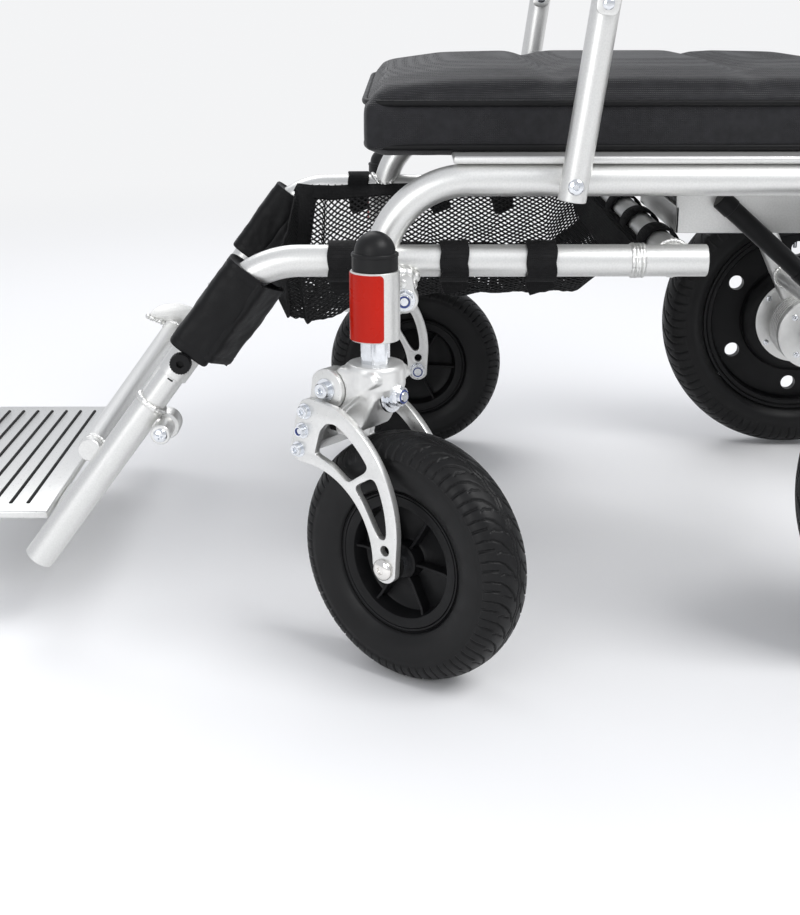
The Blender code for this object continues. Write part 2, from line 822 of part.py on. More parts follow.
def caster_rim(side, holder):
    """Moulded rim: outer barrel, web, six ribs each side, hub with a bore."""
    half = CASTER_WIDTH / 2
    barrel = half * 0.72
    bore = CASTER_AXLE_RADIUS + PIN_GAP
    profile = [
        (bore, 0.0165),
        (CASTER_HUB_RADIUS, 0.0165),
        (CASTER_HUB_RADIUS + 0.002, 0.003),
        (RIM_RECESS_RADIUS - 0.003, 0.003),
        (RIM_RECESS_RADIUS, barrel - 0.002),
        (CASTER_BEAD_RADIUS, barrel),
    ]
    profile += [(r, -v) for r, v in reversed(profile)]
    made = turned(side_name(side) + "_caster_rim", profile, 24)
    turn_to_x(made, (0.0, CASTER_AXLE.y, CASTER_AXLE.z))
    for i in range(6):
        turn = Matrix.Rotation(radians(60.0 * i + 27.0), 4, "X")
        rib = box(
            "Rib",
            (-0.0125, CASTER_HUB_RADIUS - 0.002, -0.002),
            (0.0125, RIM_RECESS_RADIUS + 0.002, 0.002),
        )
        rib.data.transform(Matrix.Translation((0.0, CASTER_AXLE.y, CASTER_AXLE.z)) @ turn)
        join(made, rib)
    made.parent = holder
    for change in made.modifiers:
        if change.type == "BOOLEAN":
            change.object.parent = holder
            change.object.matrix_parent_inverse = Matrix()
    return finish(made, "plastic")


def axle_bolt(side, holder):
    """Axle with its button head, nut and the spacers between plates and hub."""
    outer = ARM_PLATE_INNER + ARM_PLATE_THICKNESS + GAP
    inner = ARM_PLATE_INNER - GAP
    spacer = 0.0168
    shank = CASTER_AXLE_RADIUS
    profile = [
        (0.0, outer + 0.0045),
        (0.0055, outer + 0.0040),
        (0.0092, outer),
        (shank, outer),
        (shank, inner),
        (0.0085, inner),
        (0.0085, spacer),
        (shank, spacer),
        (shank, -spacer),
        (0.0085, -spacer),
        (0.0085, -inner),
        (shank, -inner),
        (shank, -outer),
        (0.0080, -outer),
        (0.0080, -outer - 0.0065),
        (0.0, -outer - 0.0065),
    ]
    made = turned(side_name(side) + "_axle_bolt", profile, 12)
    turn_to_x(made, (0.0, CASTER_AXLE.y, CASTER_AXLE.z))
    made.parent = holder
    return finish(made, "zinc")


def caster(side):
    turn = LEFT_CASTER_YAW if side > 0 else RIGHT_CASTER_YAW
    stem = Vector((side * CASTER_X, 0.0, 0.0))
    head = body(side_name(side) + "_fork_axis", stem, turn=turn)
    arm = body(side_name(side) + "_arm_axis", PIVOT, head)
    wheel = body(side_name(side) + "_caster_axis", CASTER_AXLE, arm, PIVOT)
    fork_head(side, head)
    rubber_block(side, head)
    pieces = [
        arm_plate(side, "_arm_outer_plate", side, arm),
        arm_plate(side, "_arm_inner_plate", -side, arm),
        arm_block(side, arm),
        axle_bolt(side, arm),
    ]
    for made in pieces:
        made.matrix_parent_inverse = Matrix.Translation(-PIVOT)
        adopt_cutters(made)
    for made in (caster_tyre(side, wheel), caster_rim(side, wheel)):
        made.matrix_parent_inverse = Matrix.Translation(-CASTER_AXLE)
        adopt_cutters(made)


# Rear frame

def rear_leg(side, holder):
    """Rear leg with hinge bolt, axle, brake drum and anti-tip arm."""
    x = side * REAR_LEG_X
    top = point(x, REAR_HINGE - LEG * 0.014)
    foot = point(x, REAR_AXLE + LEG * 0.016)
    made = rod(side_name(side) + "_rear_leg", top, foot, TUBE_RADIUS, 16)
    rail_face = side * (RAIL_X + TUBE_RADIUS + GAP)
    nut_face = side * (RAIL_X - TUBE_RADIUS - GAP)
    boss_end = point(x - side * 0.002, REAR_HINGE)
    boss = rod("Hinge boss", point(rail_face, REAR_HINGE), boss_end, 0.009, 12)
    nut_end = nut_face - side * 0.006
    bolt = rod(
        "Hinge bolt", point(nut_end, REAR_HINGE), point(x, REAR_HINGE), REAR_HINGE_BOLT_RADIUS, 10
    )
    nut = rod("Hinge nut", point(nut_end, REAR_HINGE), point(nut_face, REAR_HINGE), 0.0085, 6)
    inner = side * 0.197
    outer = side * (DRIVE_WHEEL_X + 0.031)
    axle = rod("Axle", point(inner, REAR_AXLE), point(outer, REAR_AXLE), DRIVE_AXLE_RADIUS, 14)
    drum = rod(
        "Brake drum", point(side * 0.207, REAR_AXLE), point(x - side * 0.006, REAR_AXLE),
        BRAKE_RADIUS, 20,
    )
    step = side * (DRIVE_WHEEL_X - DRIVE_WIDTH / 2 - 0.001)
    collar_start = point(x + side * 0.004, REAR_AXLE)
    collar = rod("Axle collar", collar_start, point(step, REAR_AXLE), 0.0115, 12)
    tip = Vector((0.0, TIP_WHEEL_Y, TIP_WHEEL_Z))
    arm = tube(
        "Anti-tip arm",
        rounded_path(
            [
                point(x, REAR_AXLE),
                point(x, Vector((0.0, REAR_AXLE_Y + 0.042, 0.096))),
                point(x, tip),
            ],
            0.03,
        ),
        0.0095,
        2,
    )
    pin_end = side * (REAR_LEG_X - 0.0095 - TIP_WHEEL_WIDTH - 0.005)
    pin = rod("Anti-tip axle", point(pin_end, tip), point(x, tip), TIP_AXLE_RADIUS, 10)
    pin_head = rod("Axle head", point(pin_end - side * 0.003, tip), point(pin_end, tip), 0.008, 8)
    join(made, boss, bolt, nut, drum, axle, collar, arm, pin, pin_head)
    carry(made, holder, REAR_HINGE)
    adopt_cutters(made)
    return finish(made, "silver")


def rear_cross_tube(holder):
    """Tube between the rear legs, with the lug that the fold strut is pinned to."""
    half = REAR_LEG_X - TUBE_RADIUS - GAP
    made = rod(
        "rear_cross_tube",
        point(-half, REAR_CROSS),
        point(half, REAR_CROSS),
        REAR_CROSS_RADIUS,
        18,
    )
    toward = (point(0.0, STRUT_TOP) - REAR_CROSS).normalized()
    eye = REAR_CROSS + toward * STRUT_LUG
    lug_x = STRUT_X - STRUT_RADIUS - 0.0065
    neck = rod("Lug", point(lug_x, REAR_CROSS), point(lug_x, eye), 0.0036, 8)
    lug = rod("Lug eye", point(lug_x - 0.004, eye), point(lug_x + 0.004, eye), 0.009, 16)
    join(made, neck, lug)
    carry(made, holder, REAR_HINGE)
    adopt_cutters(made)
    return finish(made, "silver")


def drive_hub(side, holder, place):
    """Hub motor drum with its web and rim, turned in one piece, with a bore."""
    half = DRIVE_WIDTH / 2
    bore = DRIVE_AXLE_RADIUS + PIN_GAP
    profile = [
        (bore, half),
        (MOTOR_RADIUS - 0.010, half),
        (MOTOR_RADIUS, half - 0.008),
        (MOTOR_RADIUS, 0.006),
        (DRIVE_BEAD_RADIUS - 0.012, 0.004),
        (DRIVE_BEAD_RADIUS - 0.010, half * 0.66),
        (DRIVE_BEAD_RADIUS, half * 0.70),
    ]
    profile += [(r, -v) for r, v in reversed(profile)]
    made = turned(side_name(side) + "_drive_hub", profile, 24)
    turn_to_x(made, (side * DRIVE_WHEEL_X, REAR_AXLE_Y, REAR_AXLE_Z))
    for i in range(6):
        turn = Matrix.Rotation(2 * pi * i / 6, 4, "X")
        height = (MOTOR_RADIUS + DRIVE_BEAD_RADIUS) / 2 - 0.005
        window = rod("Rim window", (-0.05, 0, height), (0.05, 0, height), 0.009, 6)
        window.data.transform(Matrix.Translation(point(side * DRIVE_WHEEL_X, REAR_AXLE)) @ turn)
        cut(made, window)
    carry(made, holder, place)
    adopt_cutters(made)
    return finish(made, "plastic")


def drive_tyre(side, holder, place):
    half = DRIVE_WIDTH / 2
    bead = DRIVE_BEAD_RADIUS + GAP
    profile = [
        (bead, half * 0.70),
        (bead + 0.010, half),
        (DRIVE_RADIUS - 0.016, half * 0.96),
        (DRIVE_RADIUS - 0.004, half * 0.62),
        (DRIVE_RADIUS, 0.0),
    ]
    profile += [(r, -v) for r, v in reversed(profile[:-1])]
    made = turned(side_name(side) + "_drive_tyre", profile, 24)
    turn_to_x(made, (side * DRIVE_WHEEL_X, REAR_AXLE_Y, REAR_AXLE_Z))
    return finish(carry(made, holder, place), "rubber")


def tip_wheel(side, holder, place):
    half = TIP_WHEEL_WIDTH / 2
    bore = TIP_AXLE_RADIUS + PIN_GAP
    profile = [
        (bore, half),
        (TIP_WHEEL_RADIUS - 0.003, half),
        (TIP_WHEEL_RADIUS, half - 0.004),
    ]
    profile += [(r, -v) for r, v in reversed(profile)]
    made = turned(side_name(side) + "_tip_wheel", profile, 16)
    x = side * (REAR_LEG_X - 0.0095 - 0.0025 - half)
    turn_to_x(made, (x, TIP_WHEEL_Y, TIP_WHEEL_Z))
    return finish(carry(made, holder, place), "rubber")


def brake_lever(side, holder):
    """Freewheel lever on the axle's inner end, held by the axle's cap."""
    x = side * 0.2015
    hub = rod(
        side_name(side) + "_brake_lever",
        point(x - 0.0045, REAR_AXLE),
        point(x + 0.0045, REAR_AXLE),
        0.015,
        18,
    )
    tip = REAR_AXLE + Vector((0.0, 0.055, 0.030))
    arm = rod("Lever arm", point(x, REAR_AXLE), point(x, tip), 0.0042, 10)
    join(hub, arm)
    hole(hub, x - 0.02, x + 0.02, REAR_AXLE, DRIVE_AXLE_RADIUS + PIN_GAP, 16)
    carry(hub, holder, REAR_AXLE)
    adopt_cutters(hub)
    return finish(hub, "plastic")


def strut_pieces(tube_holder, rod_holder):
    """Telescoping fold strut: a tube pinned to the tray, a rod pinned to the rear frame."""
    toward = (point(0.0, STRUT_TOP) - REAR_CROSS).normalized()
    bottom = point(STRUT_X, REAR_CROSS + toward * STRUT_LUG)
    line = (bottom - STRUT_TOP).normalized()
    outer = rod(
        "fold_strut_tube", STRUT_TOP - line * 0.006, STRUT_TOP + line * STRUT_TUBE_LENGTH,
        STRUT_RADIUS, 18,
    )
    pin_x = BATTERY_HALF_WIDTH + GAP + TRAY_WALL + GAP
    join(outer, rod("Strut pin", point(pin_x, STRUT_TOP), STRUT_TOP, 0.006, 12))
    bore_start = STRUT_TOP + line * 0.006
    bore_end = STRUT_TOP + line * (STRUT_TUBE_LENGTH + 0.01)
    cut(outer, rod("Strut bore", bore_start, bore_end, STRUT_ROD_RADIUS + PIN_GAP, 16))
    carry(outer, tube_holder, STRUT_TOP)
    adopt_cutters(outer)
    finish(outer, "plastic")
    inner = rod(
        "fold_strut_rod", bottom - line * STRUT_ROD_LENGTH, bottom + line * 0.007,
        STRUT_ROD_RADIUS, 16,
    )
    lug_face = STRUT_X - STRUT_RADIUS - 0.0065 + 0.004 + 0.0005
    eye_end = point(STRUT_X + 0.006, bottom)
    join(inner, rod("Rod eye", point(lug_face, bottom), eye_end, 0.008, 14))
    carry(inner, rod_holder, bottom)
    adopt_cutters(inner)
    finish(inner, "zinc")


def rear_frame():
    frame = body("rear_frame_axis", REAR_HINGE)
    for side in (1, -1):
        rear_leg(side, frame)
        axle = body(side_name(side) + "_drive_axis", REAR_AXLE, frame, REAR_HINGE)
        drive_hub(side, axle, REAR_AXLE)
        drive_tyre(side, axle, REAR_AXLE)
        tip = Vector((0.0, TIP_WHEEL_Y, TIP_WHEEL_Z))
        tip_wheel(side, body(side_name(side) + "_tip_axis", tip, frame, REAR_HINGE), tip)
        lever = body(side_name(side) + "_lever_axis", REAR_AXLE, frame, REAR_HINGE)
        brake_lever(side, lever)
    rear_cross_tube(frame)
    toward = (point(0.0, STRUT_TOP) - REAR_CROSS).normalized()
    bottom = point(STRUT_X, REAR_CROSS + toward * STRUT_LUG)
    tube_axis = body("strut_tube_axis", STRUT_TOP)
    rod_axis = body("strut_rod_axis", bottom, tube_axis, STRUT_TOP)
    strut_pieces(tube_axis, rod_axis)


# Seat, battery and basket

def seat_pan():
    """Flat pan on the rails, with the battery's tray hung under it."""
    top = SEAT_PAN_BOTTOM + SEAT_PAN_THICKNESS
    made = box(
        "seat_pan",
        (-SEAT_PAN_HALF_WIDTH, SEAT_PAN_FRONT, SEAT_PAN_BOTTOM),
        (SEAT_PAN_HALF_WIDTH, SEAT_PAN_REAR, top),
    )
    inner = BATTERY_HALF_WIDTH + GAP
    outer = inner + TRAY_WALL
    floor_top = BATTERY_BOTTOM - GAP
    floor_bottom = floor_top - TRAY_WALL
    front = BATTERY_FRONT - GAP - TRAY_WALL
    for side in (1, -1):
        wall_low, wall_high = sorted((side * inner, side * outer))
        wall = box(
            "Tray wall",
            (wall_low, front, floor_bottom),
            (wall_high, SEAT_PAN_REAR, SEAT_PAN_BOTTOM + 0.002),
        )
        lip_low, lip_high = sorted((side * (inner - 0.022), side * (inner + 0.001)))
        lip = box(
            "Tray lip", (lip_low, front, floor_bottom), (lip_high, SEAT_PAN_REAR, floor_top)
        )
        join(made, wall, lip)
    stop = box(
        "Tray front",
        (-outer, front, floor_bottom),
        (outer, BATTERY_FRONT - GAP, BATTERY_BOTTOM + 0.020),
    )
    join(made, stop)
    return carry(finish(made, "silver"))


def battery(holder, place):
    made = box(
        "battery",
        (-BATTERY_HALF_WIDTH, BATTERY_FRONT, BATTERY_BOTTOM),
        (BATTERY_HALF_WIDTH, BATTERY_REAR, BATTERY_TOP),
        0.005,
    )
    handle = box(
        "Battery handle",
        (-0.045, BATTERY_REAR - 0.002, 0.340),
        (0.045, BATTERY_REAR + 0.018, 0.354),
        0.003,
    )
    join(made, handle)
    carry(made, holder, place)
    adopt_cutters(made)
    return finish(made, "plastic")


def cushion(name, width_rows, depth_rows, height, matrix, base=0.0):
    """A crowned pad: a cage of width and depth rows, drawn in at its sides.

    Each row is a share from -1 to 1. The height function gives the top at a share
    pair, and the cage is closed below at the base height.
    """
    shape = bmesh.new()
    tops, lows = {}, {}
    for i, u in enumerate(width_rows):
        for j, v in enumerate(depth_rows):
            x, y, z = height(u, v)
            tops[i, j] = shape.verts.new((x, y, z))
            lows[i, j] = shape.verts.new((x, y, base))
    columns, rows = len(width_rows), len(depth_rows)
    for i in range(columns - 1):
        for j in range(rows - 1):
            around = ((i, j), (i + 1, j), (i + 1, j + 1), (i, j + 1))
            shape.faces.new([tops[k] for k in around])
            shape.faces.new([lows[k] for k in reversed(around)])
    rim = [(i, 0) for i in range(columns)]
    rim += [(columns - 1, j) for j in range(1, rows)]
    rim += [(i, rows - 1) for i in range(columns - 2, -1, -1)]
    rim += [(0, j) for j in range(rows - 2, 0, -1)]
    for a, b in zip(rim, rim[1:] + rim[:1]):
        shape.faces.new((lows[a], lows[b], tops[b], tops[a]))
    made = from_bmesh(name, shape)
    made.data.transform(matrix)
    return made


def seat_cushion():
    """Seat cushion with a crowned top, a rounded front and two sewn channels."""
    half_depth = (SEAT_REAR - SEAT_FRONT) / 2
    channels = (-0.34, 0.34)

    def height(u, v):
        edge = (1 - abs(u) ** 4) * (1 - abs(v) ** 6)
        crown = SEAT_THICKNESS * (0.62 + 0.38 * edge ** 0.5)
        for channel in channels:
            if abs(v - channel) < 0.02:
                crown -= 0.007 * (1 - abs(u) ** 4)
        draw = 1.0 - 0.018 * (1 - v * v)
        return u * SEAT_HALF_WIDTH * draw, v * half_depth, crown

    widths = (-1.0, -0.93, -0.75, -0.4, 0.0, 0.4, 0.75, 0.93, 1.0)
    depths = (-1.0, -0.93, -0.7, -0.42, -0.34, -0.26, 0.0, 0.26, 0.34, 0.42, 0.7, 0.93, 1.0)
    place = Matrix.Translation((0.0, (SEAT_REAR + SEAT_FRONT) / 2, SEAT_BOTTOM))
    made = cushion("seat_cushion", widths, depths, height, place)
    return carry(finish(made, "fabric"))


def basket_point(u, v):
    """The basket's surface: u across from -1 to 1, v from the front rim to the rear."""
    x = u * BASKET_HALF_WIDTH
    y = BASKET_FRONT + (BASKET_REAR - BASKET_FRONT) * v
    side = min(1.0, (1 - abs(u)) / 0.42) ** 0.8
    front = min(1.0, v / 0.06) ** 0.6
    back = min(1.0, (1 - v) / 0.16) ** 0.7
    depth = 0.046 + 0.044 * max(0.0, 1 - v / 0.32)
    depth += 0.006 * cos(3 * pi * u) * sin(pi * v)
    sag = depth * side * front * back
    rim_dip = 0.030 * (1 - u * u) * max(0.0, 1 - v / 0.08)
    return Vector((x, y, LOWER_RAIL_Z + 0.004 - sag - rim_dip))


def basket():
    """Hanging basket: an open sagging shell with wall thickness and tube loops."""
    across = (-1.0, -0.93, -0.83, -0.70, -0.56, -0.3, 0.0, 0.3, 0.56, 0.70, 0.83, 0.93, 1.0)
    down = (0.0, 0.025, 0.06, 0.12, 0.20, 0.33, 0.52, 0.70, 0.85, 0.93, 1.0)
    shape = bmesh.new()
    grid = [[shape.verts.new(basket_point(u, v)) for v in down] for u in across]
    for i in range(len(across) - 1):
        for j in range(len(down) - 1):
            corners = (grid[i][j], grid[i + 1][j], grid[i + 1][j + 1], grid[i][j + 1])
            shape.faces.new(corners)
    made = from_bmesh("basket", shape)
    wall = made.modifiers.new("Cloth", "SOLIDIFY")
    wall.thickness = BASKET_WALL
    wall.offset = 0.0
    wall.use_even_offset = False
    for side in (1, -1):
        for start, width in ((-0.038, 0.022), (0.0505, 0.0222), (0.1185, 0.0236)):
            join(made, webbing_loop(side, start, width))
    for x in (-0.150, -0.050, 0.050, 0.150):
        place = Vector((x, BASE_CROSS_Y, LOWER_RAIL_Z))
        start, end = place - Vector((0.016, 0, 0)), place + Vector((0.016, 0, 0))
        loop = rod("Rear loop", start, end, TUBE_RADIUS + 0.0036, 10)
        cut(loop, rod("Rear loop room", start - Vector((0.01, 0, 0)), end + Vector((0.01, 0, 0)),
                      TUBE_RADIUS + 0.0010, 10))
        join(made, loop)
    return carry(finish(made, "fabric"))


def webbing_loop(side, start, width):
    x = side * RAIL_X
    low, high = Vector((x, start, LOWER_RAIL_Z)), Vector((x, start + width, LOWER_RAIL_Z))
    more = Vector((0.0, 0.01, 0.0))
    loop = rod("Webbing loop", low, high, TUBE_RADIUS + 0.0040, 10)
    return cut(loop, rod("Loop room", low - more, high + more, TUBE_RADIUS + 0.0012, 10))


def strap_wing(side):
    """The strap's cloth from the sleeve's outer seam back to the panel behind the hangers."""
    outer = RAIL_X + SLEEVE_HALF_WIDTH - 0.0005
    inner = BASKET_HALF_WIDTH - 0.0018
    outline = [(inner, 0.012), (outer, 0.006), (outer, 0.017), (inner + 0.006, 0.0304), (inner, 0.0304)]
    shape = bmesh.new()
    rows = []
    for along_hanger in (SLEEVE_TOP - 0.002, SLEEVE_BOTTOM + 0.004):
        level = KNOB - HANGER * along_hanger
        row = [shape.verts.new(point(side * x, level + HANGER_BACK * v)) for x, v in outline]
        rows.append(row)
    upper, lower = rows
    shape.faces.new(upper)
    shape.faces.new(lower[::-1])
    for i, corner in enumerate(upper):
        after = (i + 1) % len(upper)
        shape.faces.new((upper[after], corner, lower[i], lower[after]))
    return from_bmesh("Strap wing", shape)


def calf_panel():
    """Calf strap: a sleeve round each hanger, joined by a lower panel behind them."""
    sleeve_top = KNOB - HANGER * SLEEVE_TOP
    panel_top = KNOB - HANGER * CALF_PANEL_TOP
    bottom = KNOB - HANGER * SLEEVE_BOTTOM
    sleeve_length = (sleeve_top - bottom).length
    panel_length = (panel_top - bottom).length - 0.004
    behind = HANGER_BACK * 0.0275
    panel_matrix = along(point(0.0, panel_top + behind), point(0.0, bottom + behind))
    shape = bmesh.new()
    size = Matrix.Diagonal((2 * BASKET_HALF_WIDTH, 0.007, panel_length, 1.0))
    bmesh.ops.create_cube(shape, size=1.0, matrix=panel_matrix @ size)
    made = from_bmesh("calf_panel", shape)
    for side in (1, -1):
        x = side * RAIL_X
        sleeve = bmesh.new()
        matrix = along(point(x, sleeve_top), point(x, bottom))
        size = Matrix.Diagonal((2 * SLEEVE_HALF_WIDTH, 0.0335, sleeve_length, 1.0))
        bmesh.ops.create_cube(sleeve, size=1.0, matrix=matrix @ size)
        cover = from_bmesh("Sleeve", sleeve)
        rounded = cover.modifiers.new("Rounded edges", "BEVEL")
        rounded.width = 0.008
        rounded.segments = 2
        rounded.limit_method = "ANGLE"
        join(made, cover, strap_wing(side))
        path = hanger_path(side, 0.0, 0.02)
        cut(made, tube("Hanger room", path, TUBE_RADIUS + 0.0009, 4))
    return carry(finish(made, "leather"))


# Footrest

def footrest():
    slide = body("footrest_axis", KNOB)
    first = KNOB - HANGER * 0.044
    weld = KNOB + HANGER * FOOT_WELD
    low = KNOB + HANGER * FOOT_HINGE_ALONG
    made = rod(
        "footrest_frame",
        point(-RAIL_X + TUBE_RADIUS + 0.0004, low),
        point(RAIL_X - TUBE_RADIUS - 0.0004, low),
        FOOT_CROSS_RADIUS,
        18,
    )
    ahead = HANGER_BACK * -(TUBE_RADIUS + FOOT_CROSS_RADIUS - 0.004)
    upper = KNOB + HANGER * 0.112 + ahead
    ends = (point(-RAIL_X, upper), point(RAIL_X, upper))
    join(made, rod("Upper cross", *ends, FOOT_CROSS_RADIUS, 14))
    for side in (1, -1):
        x = side * RAIL_X
        inner_end = point(x, weld + HANGER * 0.01)
        inner = rod("Inner tube", point(x, first), inner_end, INNER_TUBE_RADIUS, 16)
        outer = rod("Lower tube", point(x, weld), point(x, low + HANGER * 0.012), TUBE_RADIUS, 16)
        bead = rod("Weld bead", point(x, weld - HANGER * 0.004), point(x, weld + HANGER * 0.004),
                   TUBE_RADIUS + 0.0012, 20, TUBE_RADIUS + 0.0016)
        stub = KNOB + HANGER * 0.058 + HANGER_BACK * 0.0204
        neck = rod("Stub neck", point(x, stub - HANGER_BACK * 0.018), point(x, stub), 0.006, 12)
        barrel = rod("Stub", point(side * 0.205, stub), point(side * 0.252, stub), 0.0082, 14)
        bumper = rod("Stub bumper", point(side * 0.207, stub), point(side * 0.226, stub), 0.012, 14)
        elbow = rod("Cross end", point(side * 0.214, low), point(x, low), FOOT_CROSS_RADIUS, 14)
        join(made, elbow, outer, inner, bead, neck, barrel, bumper)
    carry(made, slide, KNOB)
    adopt_cutters(made)
    finish(made, "silver")
    flip = body("footplate_axis", low, slide, KNOB)
    footplate(flip, low)


def footplate(holder, hinge):
    """Flat plate with two bearings round the footrest's lower cross tube."""
    z = hinge.z + FOOT_CROSS_RADIUS + 0.001
    front = hinge.y - 0.014 - FOOTPLATE_LENGTH
    made = box(
        "footplate",
        (-FOOTPLATE_HALF_WIDTH, front, z - FOOTPLATE_THICKNESS),
        (FOOTPLATE_HALF_WIDTH, hinge.y - 0.0125, z),
        0.002,
    )
    for side in (1, -1):
        start, end = sorted((side * 0.095, side * 0.135))
        ends = (point(start, hinge), point(end, hinge))
        join(made, rod("Bearing", *ends, FOOT_CROSS_RADIUS + 0.004, 14))
    ends = (point(-0.2, hinge), point(0.2, hinge))
    cut(made, rod("Bearing bore", *ends, FOOT_CROSS_RADIUS + PIN_GAP, 14))
    carry(made, holder, hinge)
    adopt_cutters(made)
    return finish(made, "silver")


# Back, armrests and controller

def back_frame(holder):
    """Two canes with push handles and hinge plates, joined by a bowed bar."""
    bar_middle = BACK_HINGE + CANE * BACK_BAR_HEIGHT
    behind = CANE_BACK * BACK_BAR_OFFSET
    bow = CANE_BACK * BACK_BAR_BOW
    inner = RAIL_X - 0.045
    corners = [
        point(-RAIL_X, bar_middle + behind),
        point(-inner, bar_middle + bow),
        point(inner, bar_middle + bow),
        point(RAIL_X, bar_middle + behind),
    ]
    made = tube("back_frame", rounded_path(corners, 0.03, 20.0), BACK_BAR_RADIUS, 1)
    for side in (1, -1):
        x = side * RAIL_X
        start = BACK_HINGE + CANE * HINGE_ROOM
        top = BACK_HINGE + CANE * CANE_HEIGHT
        end = top + Vector((0.0, HANDLE_LENGTH, -0.018))
        path = rounded_path([point(x, start), point(x, top), point(x, end)], HANDLE_BEND, 17.0)
        join(made, tube("Cane", path, TUBE_RADIUS, 3))
        for face in (1, -1):
            low = x + face * (TUBE_RADIUS + GAP)
            high = x + face * (TUBE_RADIUS + GAP + HINGE_PLATE)
            low, high = min(low, high), max(low, high)
            y, z = BACK_HINGE.y, BACK_HINGE.z
            tip = BACK_HINGE + CANE * 0.045
            across = CANE_BACK * 0.010
            outline = arc((y, z), 0.012, 172.0, 352.0, 5)
            outline += [(tip.y + across.y, tip.z + across.z), (tip.y - across.y, tip.z - across.z)]
            join(made, plate("Hinge plate", [outline], low, high))
            grip = tip - CANE * 0.011
            rivet_end = point(x + face * (TUBE_RADIUS + 0.007), grip)
            join(made, rod("Plate rivet", point(x, grip), rivet_end, 0.006, 8))
        reach = TUBE_RADIUS + GAP + HINGE_PLATE + 0.003
        pin_start, pin_end = point(x - reach, BACK_HINGE), point(x + reach, BACK_HINGE)
        join(made, rod("Hinge pin", pin_start, pin_end, HINGE_PIN_RADIUS, 12))
        hole(made, x - 0.03, x + 0.03, ARM_PIVOT, ARM_PIN_RADIUS + PIN_GAP)
    carry(made, holder, BACK_HINGE)
    adopt_cutters(made)
    return finish(made, "silver")


def back_cushion(holder):
    """Padded back with two sewn channels, drawn in beside the hinge plates and arm pins."""
    middle = (BACK_PAD_BOTTOM + BACK_PAD_TOP) / 2
    half_height = (BACK_PAD_TOP - BACK_PAD_BOTTOM) / 2
    thickness = BACK_PAD_FRONT + BACK_PAD_REAR
    channels = (-0.35, 0.30)

    def height(u, v):
        edge = (1 - abs(u) ** 4) * (1 - abs(v) ** 6)
        crown = thickness * (0.6 + 0.4 * edge ** 0.5)
        for channel in channels:
            if abs(v - channel) < 0.02:
                crown -= 0.006 * (1 - abs(u) ** 4)
        draw = 1.0
        if v < -0.80:
            draw = BACK_NOTCH_HALF_WIDTH / BACK_HALF_WIDTH
        if -0.36 < v < -0.12:
            draw = 0.976
        return u * BACK_HALF_WIDTH * draw, v * half_height, crown

    widths = (-1.0, -0.93, -0.75, -0.4, 0.0, 0.4, 0.75, 0.93, 1.0)
    depths = (-1.0, -0.93, -0.82, -0.77, -0.43, -0.35, -0.27, -0.14, 0.0, 0.22, 0.30, 0.38)
    depths += (0.7, 0.93, 1.0)
    across = Vector((1.0, 0.0, 0.0))
    turn = Matrix((across, CANE, -CANE_BACK)).transposed().to_4x4()
    place = BACK_HINGE + CANE * middle + CANE_BACK * BACK_PAD_REAR
    made = cushion("back_cushion", widths, depths, height, Matrix.Translation(place) @ turn)
    return finish(carry(made, holder, BACK_HINGE), "fabric")


def arm_beam(side, holder):
    """Armrest tube with its rear pivot pin and its front leg."""
    x = side * ARM_X
    lower_end = POST_HEAD + Vector((0.0, 0.0, -0.011))
    corner = Vector((0.0, POST_HEAD.y, ARM_PIVOT.z))
    rear_end = ARM_PIVOT + Vector((0.0, 0.013, 0.0))
    path = rounded_path([point(x, rear_end), point(x, corner), point(x, lower_end)], ARM_BEND, 15.0)
    made = tube(side_name(side) + "_arm_beam", path, ARM_RADIUS, 3)
    inner_end = side * (RAIL_X - TUBE_RADIUS - GAP - 0.004)
    pin = rod("Arm pin", point(inner_end, ARM_PIVOT), point(x, ARM_PIVOT), ARM_PIN_RADIUS, 12)
    nut = rod("Pin head", point(inner_end, ARM_PIVOT),
              point(side * (RAIL_X - TUBE_RADIUS - GAP), ARM_PIVOT), 0.0075, 12)
    spacer = rod("Pin spacer", point(side * (RAIL_X + TUBE_RADIUS + GAP), ARM_PIVOT),
                 point(x, ARM_PIVOT), 0.0075, 14)
    join(made, pin, nut, spacer)
    hole(made, x - 0.02, x + 0.02, POST_HEAD, ARM_PIN_RADIUS + PIN_GAP)
    carry(made, holder, ARM_PIVOT)
    adopt_cutters(made)
    return finish(made, "silver")


def arm_pad(side, holder):
    bottom = ARM_PIVOT.z + ARM_RADIUS + GAP
    low = side * PAD_X - PAD_HALF_WIDTH
    high = side * PAD_X + PAD_HALF_WIDTH
    made = box(
        side_name(side) + "_arm_pad",
        (low, PAD_FRONT, bottom),
        (high, PAD_REAR, bottom + PAD_HEIGHT),
        0.008,
    )
    return finish(carry(made, holder, ARM_PIVOT), "plastic")


